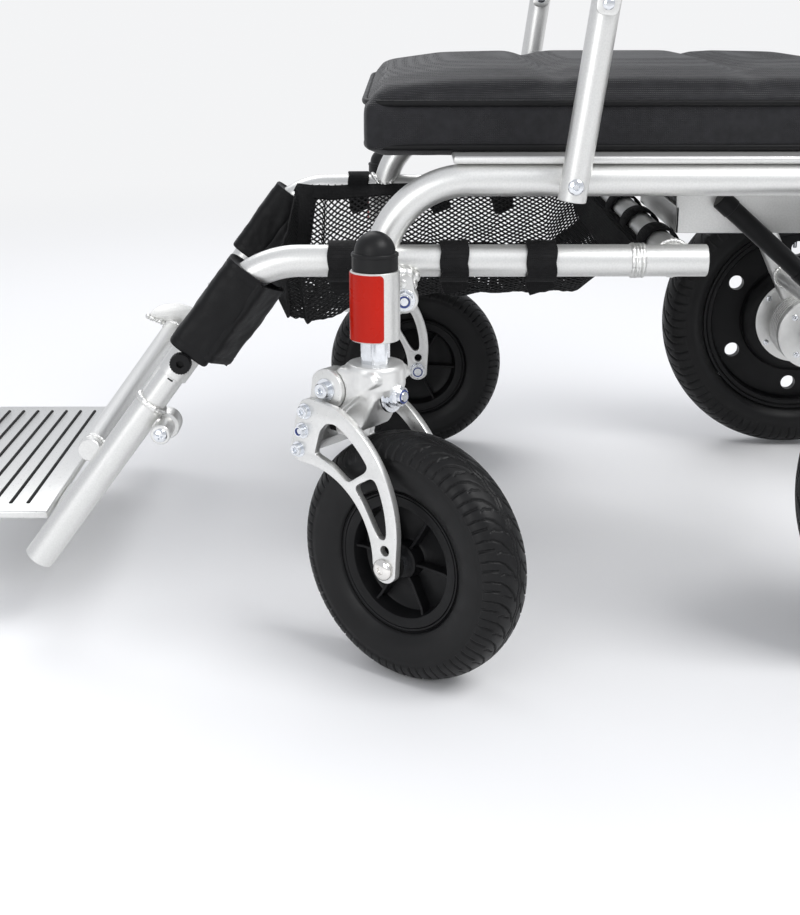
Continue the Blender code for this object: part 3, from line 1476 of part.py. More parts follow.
def arm_post(side, holder):
    """Post from the seat rail to the armrest's front leg."""
    x = side * ARM_X
    head_room = 0.0175
    start = POST_FOOT - CANE * 0.012
    end = POST_HEAD - CANE * head_room
    made = rod(side_name(side) + "_arm_post", point(x, start), point(x, end), ARM_RADIUS, 16)
    reach = ARM_RADIUS + GAP + 0.005
    pin_ends = (point(x - reach, POST_HEAD), point(x + reach, POST_HEAD))
    join(made, rod("Head pin", *pin_ends, ARM_PIN_RADIUS, 14))
    y, z = POST_HEAD.y, POST_HEAD.z
    for face in (1, -1):
        low, high = sorted((x + face * (ARM_RADIUS + GAP), x + face * (ARM_RADIUS + GAP + 0.003)))
        tip = POST_HEAD - CANE * 0.040
        across = CANE_BACK * 0.008
        outline = arc((y, z), 0.010, -8.0, 172.0, 5)
        outline += [(tip.y - across.y, tip.z - across.z), (tip.y + across.y, tip.z + across.z)]
        join(made, plate("Post plate", [outline], low, high))
        grip = tip + CANE * 0.008
        outer = x + face * (ARM_RADIUS + 0.005)
        inner = x + face * 0.002
        join(made, rod("Plate rivet", point(inner, grip), point(outer, grip), 0.0045, 8))
    rail_face = side * (RAIL_X + TUBE_RADIUS + GAP)
    nut_face = side * (RAIL_X - TUBE_RADIUS - GAP)
    nut_end = nut_face - side * 0.005
    bolt_end = nut_face - side * 0.002
    spacer_end = x - side * 0.002
    join(
        made,
        rod("Foot spacer", point(rail_face, POST_FOOT), point(spacer_end, POST_FOOT), 0.008, 14),
        rod("Foot bolt", point(bolt_end, POST_FOOT), point(x, POST_FOOT), ARM_PIN_RADIUS, 12),
        rod("Foot nut", point(nut_end, POST_FOOT), point(nut_face, POST_FOOT), 0.0075, 6),
    )
    carry(made, holder, POST_FOOT)
    adopt_cutters(made)
    return finish(made, "silver")


def controller(holder):
    """Joystick housing on a bracket clamped to the armrest's front leg."""
    x = -ARM_X
    made = box(
        "controller",
        (x - CONTROLLER_HALF_WIDTH, CONTROLLER_FRONT, CONTROLLER_BOTTOM),
        (x + CONTROLLER_HALF_WIDTH, CONTROLLER_REAR, CONTROLLER_TOP),
        0.007,
    )
    leg_y = POST_HEAD.y
    clamp_low, clamp_high = POST_HEAD.z + 0.030, POST_HEAD.z + 0.054
    clamp = rod("Clamp", (x, leg_y, clamp_low), (x, leg_y, clamp_high), ARM_RADIUS + 0.005, 14)
    stalk_y = leg_y - 0.040
    bracket = box(
        "Bracket", (x - 0.006, stalk_y - 0.006, clamp_low + 0.003),
        (x + 0.006, leg_y - 0.010, clamp_high - 0.003),
    )
    stalk = rod("Stalk", (x, stalk_y, clamp_low + 0.005), (x, stalk_y, CONTROLLER_BOTTOM + 0.004),
                0.006, 12)
    join(made, stalk, bracket, clamp)
    cut(made, rod("Clamp room", (x, leg_y, clamp_low - 0.01), (x, leg_y, clamp_high + 0.01),
                  ARM_RADIUS + GAP, 16))
    well_bottom = CONTROLLER_TOP - 0.016
    cut(made, rod("Stick well", (x, STICK_Y, well_bottom), (x, STICK_Y, CONTROLLER_TOP + 0.01),
                  STICK_WELL_RADIUS, 16))
    for place in (-BUTTON_SPACING / 2, BUTTON_SPACING / 2):
        start = (x + place, BUTTON_Y, CONTROLLER_TOP - 0.006)
        end = (x + place, BUTTON_Y, CONTROLLER_TOP + 0.01)
        cut(made, rod("Button well", start, end, BUTTON_RADIUS + PIN_GAP, 14))
    carry(made, holder, ARM_PIVOT)
    adopt_cutters(made)
    return finish(made, "plastic")


def joystick(holder):
    """Ball gimbal in the well and the stick with its knob above it."""
    centre = Vector((-ARM_X, STICK_Y, CONTROLLER_TOP - 0.016 + GIMBAL_RADIUS + GAP))
    gimbal_axis = body("gimbal_axis", centre, holder, ARM_PIVOT)
    gimbal = ball("joystick_gimbal", centre, GIMBAL_RADIUS)
    finish(carry(gimbal, gimbal_axis, centre), "plastic")
    stick_axis = body("stick_axis", centre, gimbal_axis, centre)
    base = centre + Vector((0, 0, GIMBAL_RADIUS + GAP))
    profile = [
        (0.0, 0.046),
        (0.006, 0.0455),
        (0.0105, 0.042),
        (0.0115, 0.036),
        (0.0090, 0.029),
        (0.0045, 0.023),
        (STICK_RADIUS, 0.016),
        (STICK_RADIUS, 0.0),
        (0.0, 0.0),
    ]
    stick = turned("joystick", profile, 14)
    stick.location = base
    finish(carry(stick, stick_axis, centre), "plastic")


def buttons(holder):
    for name, place in (("power_button", -1), ("horn_button", 1)):
        x = -ARM_X + place * BUTTON_SPACING / 2
        centre = Vector((x, BUTTON_Y, CONTROLLER_TOP))
        axis = body(name + "_axis", centre, holder, ARM_PIVOT)
        start = centre - Vector((0, 0, 0.0035))
        end = centre + Vector((0, 0, 0.0018))
        made = rod(name, start, end, BUTTON_RADIUS, 16)
        finish(carry(made, axis, centre), "plastic")


def back_and_arms():
    back = body("back_axis", BACK_HINGE)
    back_frame(back)
    back_cushion(back)
    for side in (1, -1):
        arm = body(side_name(side) + "_arm_tilt_axis", ARM_PIVOT, back, BACK_HINGE)
        arm_beam(side, arm)
        arm_pad(side, arm)
        arm_post(side, body(side_name(side) + "_post_axis", POST_FOOT))
        if side < 0:
            controller(arm)
            joystick(arm)
            buttons(arm)


def build():
    for side in (1, -1):
        side_tube(side)
        leg_screw(side)
        upper_rail(side)
        caster_housing(side)
        housing_cap(side)
        caster(side)
    base_cross_tube()
    seat_pan()
    seat_cushion()
    front = Vector((0.0, BATTERY_FRONT, BATTERY_BOTTOM))
    battery(body("battery_axis", front), front)
    basket()
    calf_panel()
    footrest()
    rear_frame()
    back_and_arms()
    for cutter in cutters.objects:
        if cutter.parent is None:
            carry(cutter)


build()
bpy.context.view_layer.update()
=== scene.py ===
"""Looks of a folding power wheelchair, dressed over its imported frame.

Lengths are metres. Pieces are drawn in the chair's design frame, with X = 0 on the middle
plane, Y = 0 at the caster stems and Z = 0 on the floor, and SHIFT moves them to the frame.
A side is 1 for the chair's left and -1 for its right, and its name begins its pieces' names.
"""
import bmesh
import bpy
import numpy as np
from math import cos, pi, radians, sin, sqrt, tan
from mathutils import Matrix, Vector, noise


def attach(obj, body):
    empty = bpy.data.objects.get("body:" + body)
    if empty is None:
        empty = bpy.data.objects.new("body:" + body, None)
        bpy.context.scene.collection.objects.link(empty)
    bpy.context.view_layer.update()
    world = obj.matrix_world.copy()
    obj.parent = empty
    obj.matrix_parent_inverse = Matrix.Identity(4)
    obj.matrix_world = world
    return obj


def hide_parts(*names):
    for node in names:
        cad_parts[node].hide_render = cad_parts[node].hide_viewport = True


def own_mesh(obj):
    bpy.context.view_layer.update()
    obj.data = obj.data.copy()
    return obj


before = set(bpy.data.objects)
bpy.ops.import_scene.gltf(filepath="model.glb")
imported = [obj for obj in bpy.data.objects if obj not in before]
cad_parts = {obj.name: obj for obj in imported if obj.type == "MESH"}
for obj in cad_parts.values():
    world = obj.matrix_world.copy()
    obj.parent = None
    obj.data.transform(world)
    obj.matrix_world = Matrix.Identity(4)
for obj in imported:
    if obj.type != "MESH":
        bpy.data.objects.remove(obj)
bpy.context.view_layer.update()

# Sizes shared with the CAD model

SHIFT = Matrix.Translation((-0.0257, -0.1252, 0.0))
TUBE = 0.0127
BEND = 0.072
RAIL_X = 0.2304
RAIL_Z = 0.3162
RAIL_END = 0.262
SEAT_RAIL_Z = 0.3797
RISER_Y = 0.0017
CROSS_Y = 0.237
KNOB = Vector((0.0, -0.157, 0.2365))
HANGER = Vector((0.0, -cos(radians(53.0)), -sin(radians(53.0))))
HANGER_BACK = Vector((0.0, -HANGER.z, HANGER.y))
HANGER_END = 0.0162
BACK_HINGE = Vector((0.0, 0.481, 0.51))
CANE = Vector((0.0, sin(radians(8.0)), cos(radians(8.0))))
CANE_BACK = Vector((0.0, CANE.z, -CANE.y))
CASTER_X = 0.2965
YAW = {1: -38.2, -1: 2.6}
TRAIL = 0.0364
WHEEL = 0.1
PIVOT = Vector((0.0, -0.0282, 0.229))
AXLE = Vector((0.0, TRAIL, WHEEL))
PLATE_IN = 0.0305
PLATE_OUT = 0.0365
SIDES = ((1, "left_"), (-1, "right_"))

# Cosines and sines of 48 even steps of a turn
TURNS = [(cos(2 * pi * k / 48), sin(2 * pi * k / 48)) for k in range(48)]


def at(x, place):
    """A place moved to another x."""
    return Vector((x, place.y, place.z))


def move(*place):
    return Matrix.Translation(place)


def spin(degrees, axis):
    return Matrix.Rotation(radians(degrees), 4, axis)


def caster_frame(side):
    """The matrix of a swivelled caster, with its stem on the Z axis."""
    return SHIFT @ move(side * CASTER_X, 0, 0) @ spin(YAW[side], "Z")


# Materials

def feed(tree, node, inputs):
    """Sets a node's inputs to values, or links them to sockets."""
    for key, value in inputs.items():
        if isinstance(value, bpy.types.NodeSocket):
            tree.links.new(value, node.inputs[key])
        else:
            node.inputs[key].default_value = value
    return node


def node(tree, kind, inputs, **settings):
    """A new shader node with its inputs fed and its settings made."""
    made = tree.nodes.new("ShaderNode" + kind)
    for key, value in settings.items():
        setattr(made, key, value)
    return feed(tree, made, inputs)


def look(name, colour, rough, metal, mottle, rough_spread, bumps=(), **sockets):
    """A Principled material with mottled colour, uneven roughness and a stack of bumps.

    Mottle is (scale, share). A bump is (texture, scale, height) and may end with a stretch.
    """
    made = bpy.data.materials.new(name)
    made.use_nodes = True
    tree = made.node_tree
    coords = node(tree, "TexCoord", {}).outputs["Object"]

    def texture(kind, scale, stretch=(1, 1, 1)):
        spot = node(tree, "Mapping", {"Scale": stretch, "Vector": coords}).outputs[0]
        inputs = {"Vector": spot, "Scale": scale}
        if kind == "cells":
            return node(tree, "TexVoronoi", {"Smoothness": 0.4, **inputs}, feature="SMOOTH_F1").outputs["Distance"]
        if kind == "noise":
            return node(tree, "TexNoise", {"Detail": 4.0, **inputs}).outputs["Fac"]
        total, *others = (node(tree, "TexWave", {"Distortion": 0.6, **inputs}, bands_direction=axis).outputs["Fac"]
                          for axis in "XYZ")
        for wave in others:
            total = node(tree, "Math", {0: total, 1: wave}, operation="MULTIPLY").outputs[0]
        return total

    ramp = node(tree, "ValToRGB", {0: texture("noise", mottle[0])})
    for stop, place, gain in zip(ramp.color_ramp.elements, (0.3, 0.7), (1 - mottle[1], 1 + mottle[1])):
        stop.color = (*(min(1.0, c * gain) for c in colour), 1.0)
        stop.position = place
    span = node(tree, "MapRange", {"From Min": 0.3, "From Max": 0.7, "To Min": rough - rough_spread,
                                   "To Max": rough + rough_spread, "Value": texture("noise", mottle[0] * 2.3)})
    normal = {}
    for kind, scale, height, *stretch in bumps:
        inputs = {"Strength": 1.0, "Distance": height, "Height": texture(kind, scale, *stretch), **normal}
        normal = {"Normal": node(tree, "Bump", inputs).outputs[0]}
    feed(tree, tree.nodes["Principled BSDF"], {
        "Metallic": metal, "Base Color": ramp.outputs[0], "Roughness": span.outputs[0], **normal,
        **{key.replace("_", " "): value for key, value in sockets.items()}})
    made.diffuse_color = (*colour, 1.0)
    return made


DULL = {"Specular_IOR_Level": 0.18}
SILVER = look("satin_silver", (0.72, 0.72, 0.705), 0.38, 0.8, (700.0, 0.05), 0.06, [("noise", 1500.0, 0.00004)])
CAST = look("cast_silver", (0.74, 0.74, 0.725), 0.36, 0.72, (90.0, 0.05), 0.06,
            [("noise", 260.0, 0.0001), ("noise", 1500.0, 0.00003)])
MACHINED = look("machined_aluminium", (0.75, 0.75, 0.735), 0.32, 0.8, (300.0, 0.03), 0.05,
                [("noise", 900.0, 0.000008, (1.0, 1.0, 0.15))])
WELD = look("weld_metal", (0.76, 0.76, 0.74), 0.34, 0.92, (400.0, 0.08), 0.08, [("noise", 700.0, 0.0001)])
ZINC = look("zinc", (0.76, 0.78, 0.81), 0.17, 1.0, (250.0, 0.06), 0.05, [("noise", 1400.0, 0.000006)])
POLISHED = look("polished_steel", (0.82, 0.8, 0.77), 0.08, 1.0, (200.0, 0.03), 0.03)
NYLON = look("nylon_insert", (0.06, 0.09, 0.3), 0.45, 0.0, (200.0, 0.1), 0.05)
CAP = look("soft_black_cap", (0.008, 0.008, 0.0085), 0.42, 0.0, (40.0, 0.12), 0.06, [("noise", 900.0, 0.00003)],
           Specular_IOR_Level=0.22)
PLASTIC = look("black_plastic", (0.006, 0.006, 0.0065), 0.4, 0.0, (50.0, 0.15), 0.07, [("noise", 800.0, 0.00003)],
               **DULL)
TYRE = look("tyre_rubber", (0.0045, 0.0045, 0.0048), 0.44, 0.0, (35.0, 0.2), 0.08, [("noise", 500.0, 0.00004)],
            Specular_IOR_Level=0.24)
RUBBER = look("rubber", (0.009, 0.009, 0.009), 0.65, 0.0, (60.0, 0.2), 0.06, [("noise", 600.0, 0.00006)], **DULL)
RED = look("red_reflector", (0.42, 0.01, 0.003), 0.3, 0.0, (30.0, 0.05), 0.04, [("cells", 900.0, 0.00002)],
           Coat_Weight=0.12, Coat_Roughness=0.08, Specular_IOR_Level=0.12)
WEBBING = look("webbing", (0.0065, 0.0065, 0.007), 0.75, 0.0, (150.0, 0.2), 0.06, [("weave", 210.0, 0.0005)], **DULL)
NET = look("net_thread", (0.005, 0.005, 0.0055), 0.7, 0.0, (300.0, 0.2), 0.06, [("noise", 1500.0, 0.00006)], **DULL)
LEATHER = look("leatherette", (0.0055, 0.0055, 0.006), 0.46, 0.0, (25.0, 0.15), 0.08,
               [("cells", 900.0, 0.00008), ("noise", 60.0, 0.0004)], **DULL)
SEAT = look("seat_cloth", (0.016, 0.016, 0.018), 0.85, 0.0, (120.0, 0.2), 0.05,
            [("weave", 210.0, 0.0005), ("noise", 30.0, 0.0015)], Sheen_Weight=0.2, **DULL)
GRIP = look("grip_rubber", (0.014, 0.014, 0.014), 0.55, 0.0, (60.0, 0.15), 0.06, [("noise", 700.0, 0.00006)], **DULL)
LAMP = look("indicator_lens", (0.03, 0.24, 0.05), 0.2, 0.0, (300.0, 0.1), 0.04, [("noise", 700.0, 0.00002)])


# Mesh building

SHARP = 36.0


class Solid:
    """A mesh under construction, in the frame that its matrix gives."""

    def __init__(self, matrix=SHIFT):
        self.mesh = bmesh.new()
        self.matrix = matrix

    def rows(self, rows, closed=False, caps=True):
        """Skins rows of points, each a ring or a single apex point."""
        made = [[self.mesh.verts.new(p) for p in row] for row in rows]
        pairs = list(zip(made, made[1:])) + ([(made[-1], made[0])] if closed else [])
        for a, b in pairs:
            for i in range(max(len(a), len(b))):
                corners = (a[i % len(a)], a[(i + 1) % len(a)], b[(i + 1) % len(b)], b[i % len(b)])
                corners = list(dict.fromkeys(corners))
                if len(corners) > 2:
                    self.mesh.faces.new(corners)
        if caps and not closed:
            for row in (made[0], made[-1]):
                if len(row) > 2:
                    self.mesh.faces.new(row)
        return self

    def lathe(self, profile, place=Matrix(), steps=64, closed=False):
        """Turns (radius, height) knots about the place's Z axis; a radius may be a function of the angle."""
        angles = [2 * pi * i / steps for i in range(steps)]
        rows = []
        for radius, height in profile:
            if radius == 0:
                rows.append([place @ Vector((0, 0, height))])
                continue
            reaches = [radius(a) if callable(radius) else radius for a in angles]
            rows.append([place @ Vector((r * cos(a), r * sin(a), height)) for r, a in zip(reaches, angles)])
        return self.rows(rows, closed)

    def bar(self, start, end, radius, edge=0.0006, sides=40, bore=0.0):
        """A turned bar with eased ends, or a ring round a bore."""
        length = (Vector(end) - Vector(start)).length
        knots = [(bore, 0), (radius - edge, 0), (radius, edge)]
        knots += [(r, length - z) for r, z in reversed(knots)]
        return self.lathe(knots, aim(start, end), sides, bool(bore))

    def pipe(self, points, radius, sides=40, bores=(0, 0), closed=False):
        """A round tube along points. A bore's depth opens that end, and 0 closes it."""
        bore, edge = 0.0113, 0.0006
        points = [Vector(p) for p in points]
        size = (lambda i: radius[i]) if hasattr(radius, "__len__") else (lambda i: radius)
        ways = []
        for i in range(len(points)):
            before = points[i - 1] if closed or i else points[0]
            after = points[(i + 1) % len(points)] if closed or i + 1 < len(points) else points[-1]
            ways.append((after - before).normalized())
        side = ways[0].orthogonal().normalized()
        rings = []
        for i, (place, way) in enumerate(zip(points, ways)):
            side = (side - way * side.dot(way)).normalized()
            rings.append((place, side.copy(), way.cross(side), way, size(i)))

        def row(ring, reach, ahead=0.0):
            place, one, two, way, _ = ring
            turn = [2 * pi * k / sides for k in range(sides)]
            return [place + way * ahead + (one * cos(t) + two * sin(t)) * reach for t in turn]

        rows = [row(ring, ring[4]) for ring in rings]
        if closed:
            return self.rows(rows, True)
        for which, sign in ((0, -1), (-1, 1)):
            ring = rings[which]
            ends = [row(ring, ring[4], -sign * edge), row(ring, ring[4] - edge)]
            if bores[which]:
                ends += [row(ring, bore), row(ring, bore, -sign * bores[which])]
            rows = rows[1:] if which == 0 else rows[:-1]
            rows = ends[::-1] + rows if which == 0 else rows + ends
        return self.rows(rows)

    def plate(self, outlines, low, high, bevel):
        """Flat outlines of (y, z) points made thick between two x, with rounded edges."""
        low, high = sorted((low, high))
        curve = bpy.data.curves.new("outline", "CURVE")
        curve.dimensions = "2D"
        curve.fill_mode = "BOTH"
        curve.extrude = (high - low) / 2 - bevel
        curve.bevel_depth = bevel
        curve.bevel_resolution = 1
        curve.offset = -bevel
        for outline in outlines:
            line = curve.splines.new("POLY")
            line.points.add(len(outline) - 1)
            line.use_cyclic_u = True
            for knot, (y, z) in zip(line.points, outline):
                knot.co = (y, z, 0.0, 1.0)
        drawn = bpy.data.objects.new("outline", curve)
        bpy.context.scene.collection.objects.link(drawn)
        seen = drawn.evaluated_get(bpy.context.evaluated_depsgraph_get())
        mesh = bpy.data.meshes.new_from_object(seen)
        mesh.transform(Matrix(((0, 0, 1, (low + high) / 2), (1, 0, 0, 0), (0, 1, 0, 0), (0, 0, 0, 1))))
        self.mesh.from_mesh(mesh)
        bpy.data.objects.remove(drawn, do_unlink=True)
        bpy.data.meshes.remove(mesh)
        return self

    def box(self, one, other, bevel, place=Matrix(), segments=3):
        """A box between two opposite corners, with rounded edges."""
        low, high = (Vector(map(pick, one, other)) for pick in (min, max))
        size = Matrix.Translation((low + high) / 2) @ Matrix.Diagonal((*(high - low), 1.0))
        shape = bmesh.new()
        bmesh.ops.create_cube(shape, size=1.0, matrix=size)
        bmesh.ops.bevel(shape, geom=shape.edges[:], offset=bevel, segments=segments, affect="EDGES", profile=0.5)
        shape.transform(place)
        mesh = bpy.data.meshes.new("box")
        shape.to_mesh(mesh)
        shape.free()
        self.mesh.from_mesh(mesh)
        bpy.data.meshes.remove(mesh)
        return self

    def weld(self, points, radius, lumps=1.0, seed=0.0):
        """A weld bead round a closed path, with the ripples of its passes."""
        step, pitch = 0.0011, 0.0032
        points = even_loop([Vector(p) for p in points], step)
        sizes = []
        for i, place in enumerate(points):
            ripple = 0.16 * sin(2 * pi * i * step / pitch)
            sizes.append(radius * (1 + lumps * (ripple + 0.3 * noise.noise(place * 260.0 + Vector((seed, 0, 0))))))
        return self.pipe(points, sizes, 12, closed=True)

    def piece(self, name, material, body, nodes=(), slot=None, angle=SHARP, modifiers=()):
        """Ends the mesh and dresses it as a named piece."""
        bmesh.ops.remove_doubles(self.mesh, verts=self.mesh.verts, dist=1e-6)
        bmesh.ops.recalc_face_normals(self.mesh, faces=self.mesh.faces)
        self.mesh.transform(self.matrix)
        mesh = bpy.data.meshes.new(name)
        self.mesh.to_mesh(mesh)
        self.mesh.free()
        return dress(bpy.data.objects.new(name, mesh), material, body, nodes, angle, modifiers)


def shape(made, *modifiers):
    """Applies modifiers to an object's mesh and keeps its material."""
    for kind, settings in modifiers:
        change = made.modifiers.new(kind.title(), kind)
        for key, value in settings.items():
            setattr(change, key, value)
    seen = made.evaluated_get(bpy.context.evaluated_depsgraph_get())
    mesh = bpy.data.meshes.new_from_object(seen)
    made.modifiers.clear()
    material = made.data.materials[0] if made.data.materials else None
    made.data = mesh
    if material:
        mesh.materials.clear()
        mesh.materials.append(material)


def dress(made, material, body, nodes=(), angle=SHARP, modifiers=()):
    """Finishes a mesh object as a piece: modifiers applied, shading, material, body and nodes."""
    bpy.context.scene.collection.objects.link(made)
    if modifiers:
        shape(made, *modifiers)
        made.data.name = made.name
    made.data.materials.clear()
    made.data.materials.append(material)
    made.data.shade_smooth()
    if angle:
        made.data.set_sharp_from_angle(angle=radians(angle))
    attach(made, body)
    if nodes:
        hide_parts(*nodes)
    return made


def pieces(body, slot, *rows):
    """Finishes solids that go with a node, from rows of (solid, name, material)."""
    for solid, name, material in rows:
        solid.piece(name, material, body, slot=slot)


def carve_out(made, cutter):
    """Cuts a solid's shape out of an object."""
    bmesh.ops.remove_doubles(cutter.mesh, verts=cutter.mesh.verts, dist=1e-6)
    bmesh.ops.recalc_face_normals(cutter.mesh, faces=cutter.mesh.faces)
    cutter.mesh.transform(cutter.matrix)
    mesh = bpy.data.meshes.new("room")
    cutter.mesh.to_mesh(mesh)
    room = bpy.data.objects.new("room", mesh)
    bpy.context.scene.collection.objects.link(room)
    shape(made, ("BOOLEAN", {"object": room, "operation": "DIFFERENCE", "solver": "EXACT"}))
    bpy.data.objects.remove(room, do_unlink=True)
    made.data.set_sharp_from_angle(angle=radians(SHARP))


def even_loop(points, step):
    """Points at even steps round a closed path."""
    closed = points + [points[0]]
    lengths = [(b - a).length for a, b in zip(closed, closed[1:])]
    count = max(12, round(sum(lengths) / step))
    made, run, k = [], 0.0, 0
    for i in range(count):
        goal = sum(lengths) * i / count
        while run + lengths[k] < goal:
            run += lengths[k]
            k += 1
        made.append(closed[k].lerp(closed[k + 1], (goal - run) / lengths[k]))
    return made


def aim(start, end):
    """The matrix with its origin at start and its Z axis towards end."""
    start, end = Vector(start), Vector(end)
    return Matrix.Translation(start) @ (end - start).to_track_quat("Z", "Y").to_matrix().to_4x4()


def facing(x, place, way=1):
    """The matrix at a place with its Z axis along X, away from the middle or, with -1, towards it."""
    start = at(x, place)
    return aim(start, start + Vector((way if x > 0 else -way, 0, 0)))


def bent(corners, radius, step=4.0):
    """A path through corners, each rounded with the bend radius."""
    corners = [Vector(c) for c in corners]
    points = [corners[0]]
    for before, corner, after in zip(corners, corners[1:], corners[2:]):
        back, ahead = (before - corner).normalized(), (after - corner).normalized()
        bend = pi - back.angle(ahead)
        reach = radius * tan(bend / 2)
        centre = corner + (back + ahead).normalized() * radius / cos(bend / 2)
        first, last = corner + back * reach - centre, corner + ahead * reach - centre
        steps = max(2, round(bend / radians(step)))
        for i in range(steps + 1):
            share = i / steps
            points.append(centre + (first * sin((1 - share) * bend) + last * sin(share * bend)) / sin(bend))
    return points + [corners[-1]]


def arc(centre, radius, start, end, steps):
    """Points along an arc, from start to end in degrees."""
    angles = (radians(start + (end - start) * i / steps) for i in range(steps + 1))
    return [(centre[0] + radius * cos(a), centre[1] + radius * sin(a)) for a in angles]


def circle(centre, radius, steps=32):
    return arc(centre, radius, 0.0, 360.0 * (1 - 1 / steps), steps - 1)


def mirrored(half):
    """A profile followed by its mirror image across height 0."""
    return half + [(r, -z) for r, z in reversed(half) if z]


def fillet(outline, radius, least=20.0, steps=6):
    """Rounds the sharp corners of a closed outline."""
    made = []
    count = len(outline)
    for i in range(count):
        a, b, c = (Vector(outline[(i + k) % count]) for k in (-1, 0, 1))
        back, ahead = a - b, c - b
        bend = pi - back.angle(ahead)
        if bend < radians(least):
            made.append(tuple(b))
            continue
        reach = min(radius * tan(bend / 2), 0.48 * back.length, 0.48 * ahead.length)
        size = reach / tan(bend / 2)
        centre = b + (back.normalized() + ahead.normalized()).normalized() * size / cos(bend / 2)
        first = b + back.normalized() * reach - centre
        last = b + ahead.normalized() * reach - centre
        for k in range(steps + 1):
            share = k / steps
            arm = (first * sin((1 - share) * bend) + last * sin(share * bend)) / sin(bend)
            made.append(tuple(centre + arm))
    return made


def rounded(outline, window, step=0.0006):
    """A closed outline with its corners drawn round by a moving average."""
    knots = np.array([*outline, outline[0]], float)
    run = np.concatenate([[0], np.cumsum(np.linalg.norm(np.diff(knots, axis=0), axis=1))])
    goals = np.linspace(0, run[-1], int(run[-1] / step), endpoint=False)
    even = np.stack([np.interp(goals, run, knots[:, k]) for k in (0, 1)], axis=1)
    half = int(window / step / 2)
    for _ in range(2):
        even = sum(np.roll(even, shift, axis=0) for shift in range(-half, half + 1)) / (2 * half + 1)
    return even.tolist()


def smooth_line(points, count):
    """A Catmull-Rom curve through points, at even steps of its length."""
    knots = np.array(points, float)
    knots = np.vstack([2 * knots[0] - knots[1], knots, 2 * knots[-1] - knots[-2]])
    t = np.linspace(0, 1, 24, endpoint=False)[:, None]
    dense = [0.5 * (2 * b + (c - a) * t + (2 * a - 5 * b + 4 * c - d) * t ** 2 + (3 * b - a - 3 * c + d) * t ** 3)
             for a, b, c, d in zip(knots, knots[1:], knots[2:], knots[3:])]
    dense = np.vstack(dense + [knots[-2:-1]])
    run = np.concatenate([[0], np.cumsum(np.linalg.norm(np.diff(dense, axis=0), axis=1))])
    goals = np.linspace(0, run[-1], count)
    return np.stack([np.interp(goals, run, dense[:, k]) for k in range(dense.shape[1])], axis=1)


def six(across, limit=1.0):
    """A hexagon's radius as a function of the angle, cut by a round limit."""
    return lambda angle: min(limit, across / 2 / cos((angle + pi / 6) % (pi / 3) - pi / 6))


# Fasteners, drawn outwards along the Z axis of their place

def washer(metal, place, outer, inner, thick):
    edge = 0.00015
    metal.lathe([(outer - edge, thick), (outer, thick - edge), (outer, edge), (outer - edge, 0), (inner, 0),
                 (inner, thick)], place, 40, closed=True)


def socket_screw(metal, place, radius, height, socket, base=0.0):
    """A cap screw with its hexagon socket."""
    top, wall = base + height, six(socket)
    metal.lathe([(0, base), (radius, base), (radius, top - 0.0006), (radius - 0.0006, top), (socket * 0.66, top),
                 (wall, top - 0.0004), (wall, base + height * 0.35), (0, base + height * 0.3)], place, 48)


def button_screw(metal, place, radius, height, socket, base=0.0):
    """A domed screw with its hexagon socket."""
    angles = [radians(9.0 * i) for i in range(8)]
    dome = [(radius * cos(a), base + height * 0.25 + height * 0.75 * sin(a)) for a in angles]
    top, wall = dome[-1][1], six(socket)
    metal.lathe([(0, base), (radius - 0.0003, base), *dome, (socket * 0.62, top + 0.0001), (wall, top - 0.0004),
                 (wall, base + height * 0.4), (0, base + height * 0.35)], place, 48)


def nylock(metal, insert, place, across, height, thread, base=0.0, proud=0.002):
    """A lock nut with its rounded collar, coloured insert ring and the bolt's end."""
    low, high = base, base + height
    flat, corner = six(across, across / 2 * 1.04), six(across, across / sqrt(3.0))
    collar, top, shell, ring = across / 2 * 0.84, high + proud, high + 0.0018, thread + 0.0013
    metal.lathe([(0, low), (flat, low), (corner, low + 0.0006), (corner, high - 0.0007), (flat, high), (collar, high),
                 (collar, high + 0.0011), (collar - 0.0006, shell), (ring, shell), (ring, high), (0, high)],
                place, 48)
    insert.lathe([(ring, high + 0.0004), (thread + 0.0012, high + 0.0015), (thread + 0.0001, high + 0.0015),
                  (thread + 0.0001, high + 0.0002)], place, 48, closed=True)
    metal.lathe([(0, low), (thread, low), (thread, top - 0.0006), (thread - 0.0005, top), (0, top)], place, 24)


def rivet(metal, start, outward, radius=0.006, height=0.0028):
    metal.lathe([(0, 0), (radius, 0), (radius, height * 0.3), (radius * 0.8, height * 0.75), (radius * 0.4, height),
                 (0, height)], aim(start, start + outward), 40)


def hinge_plates(plates, pins, x, faces, pivot, sign, reach, round_tip, heads):
    """A pair of plates from a pivot along the cane, on both sides of x, with a rivet and a pin head on each.

    Faces are the plates' inner and outer x and the heads' seat. Reach is the plate's length, half its width at
    the tip and the rivet's distance from the tip. Heads are the rivet's and the pin's (radius, height).
    """
    (inner, outer, seat), (length, half, back) = faces, reach
    tip, across = pivot + CANE * (sign * length), CANE_BACK * (sign * half)
    outline = arc(pivot.yz, half + 0.002, 82.0 + sign * 90.0, 262.0 + sign * 90.0, 24)
    outline += [tuple((tip + across).yz), tuple((tip - across).yz)]
    for face in (1, -1):
        plates.plate([fillet(outline, round_tip, 30.0)], x + face * inner, x + face * outer, 0.0006)
        for spot, head in zip((tip - CANE * (sign * back), pivot), heads):
            rivet(pins, at(x + face * seat, spot), Vector((face, 0, 0)), *head)


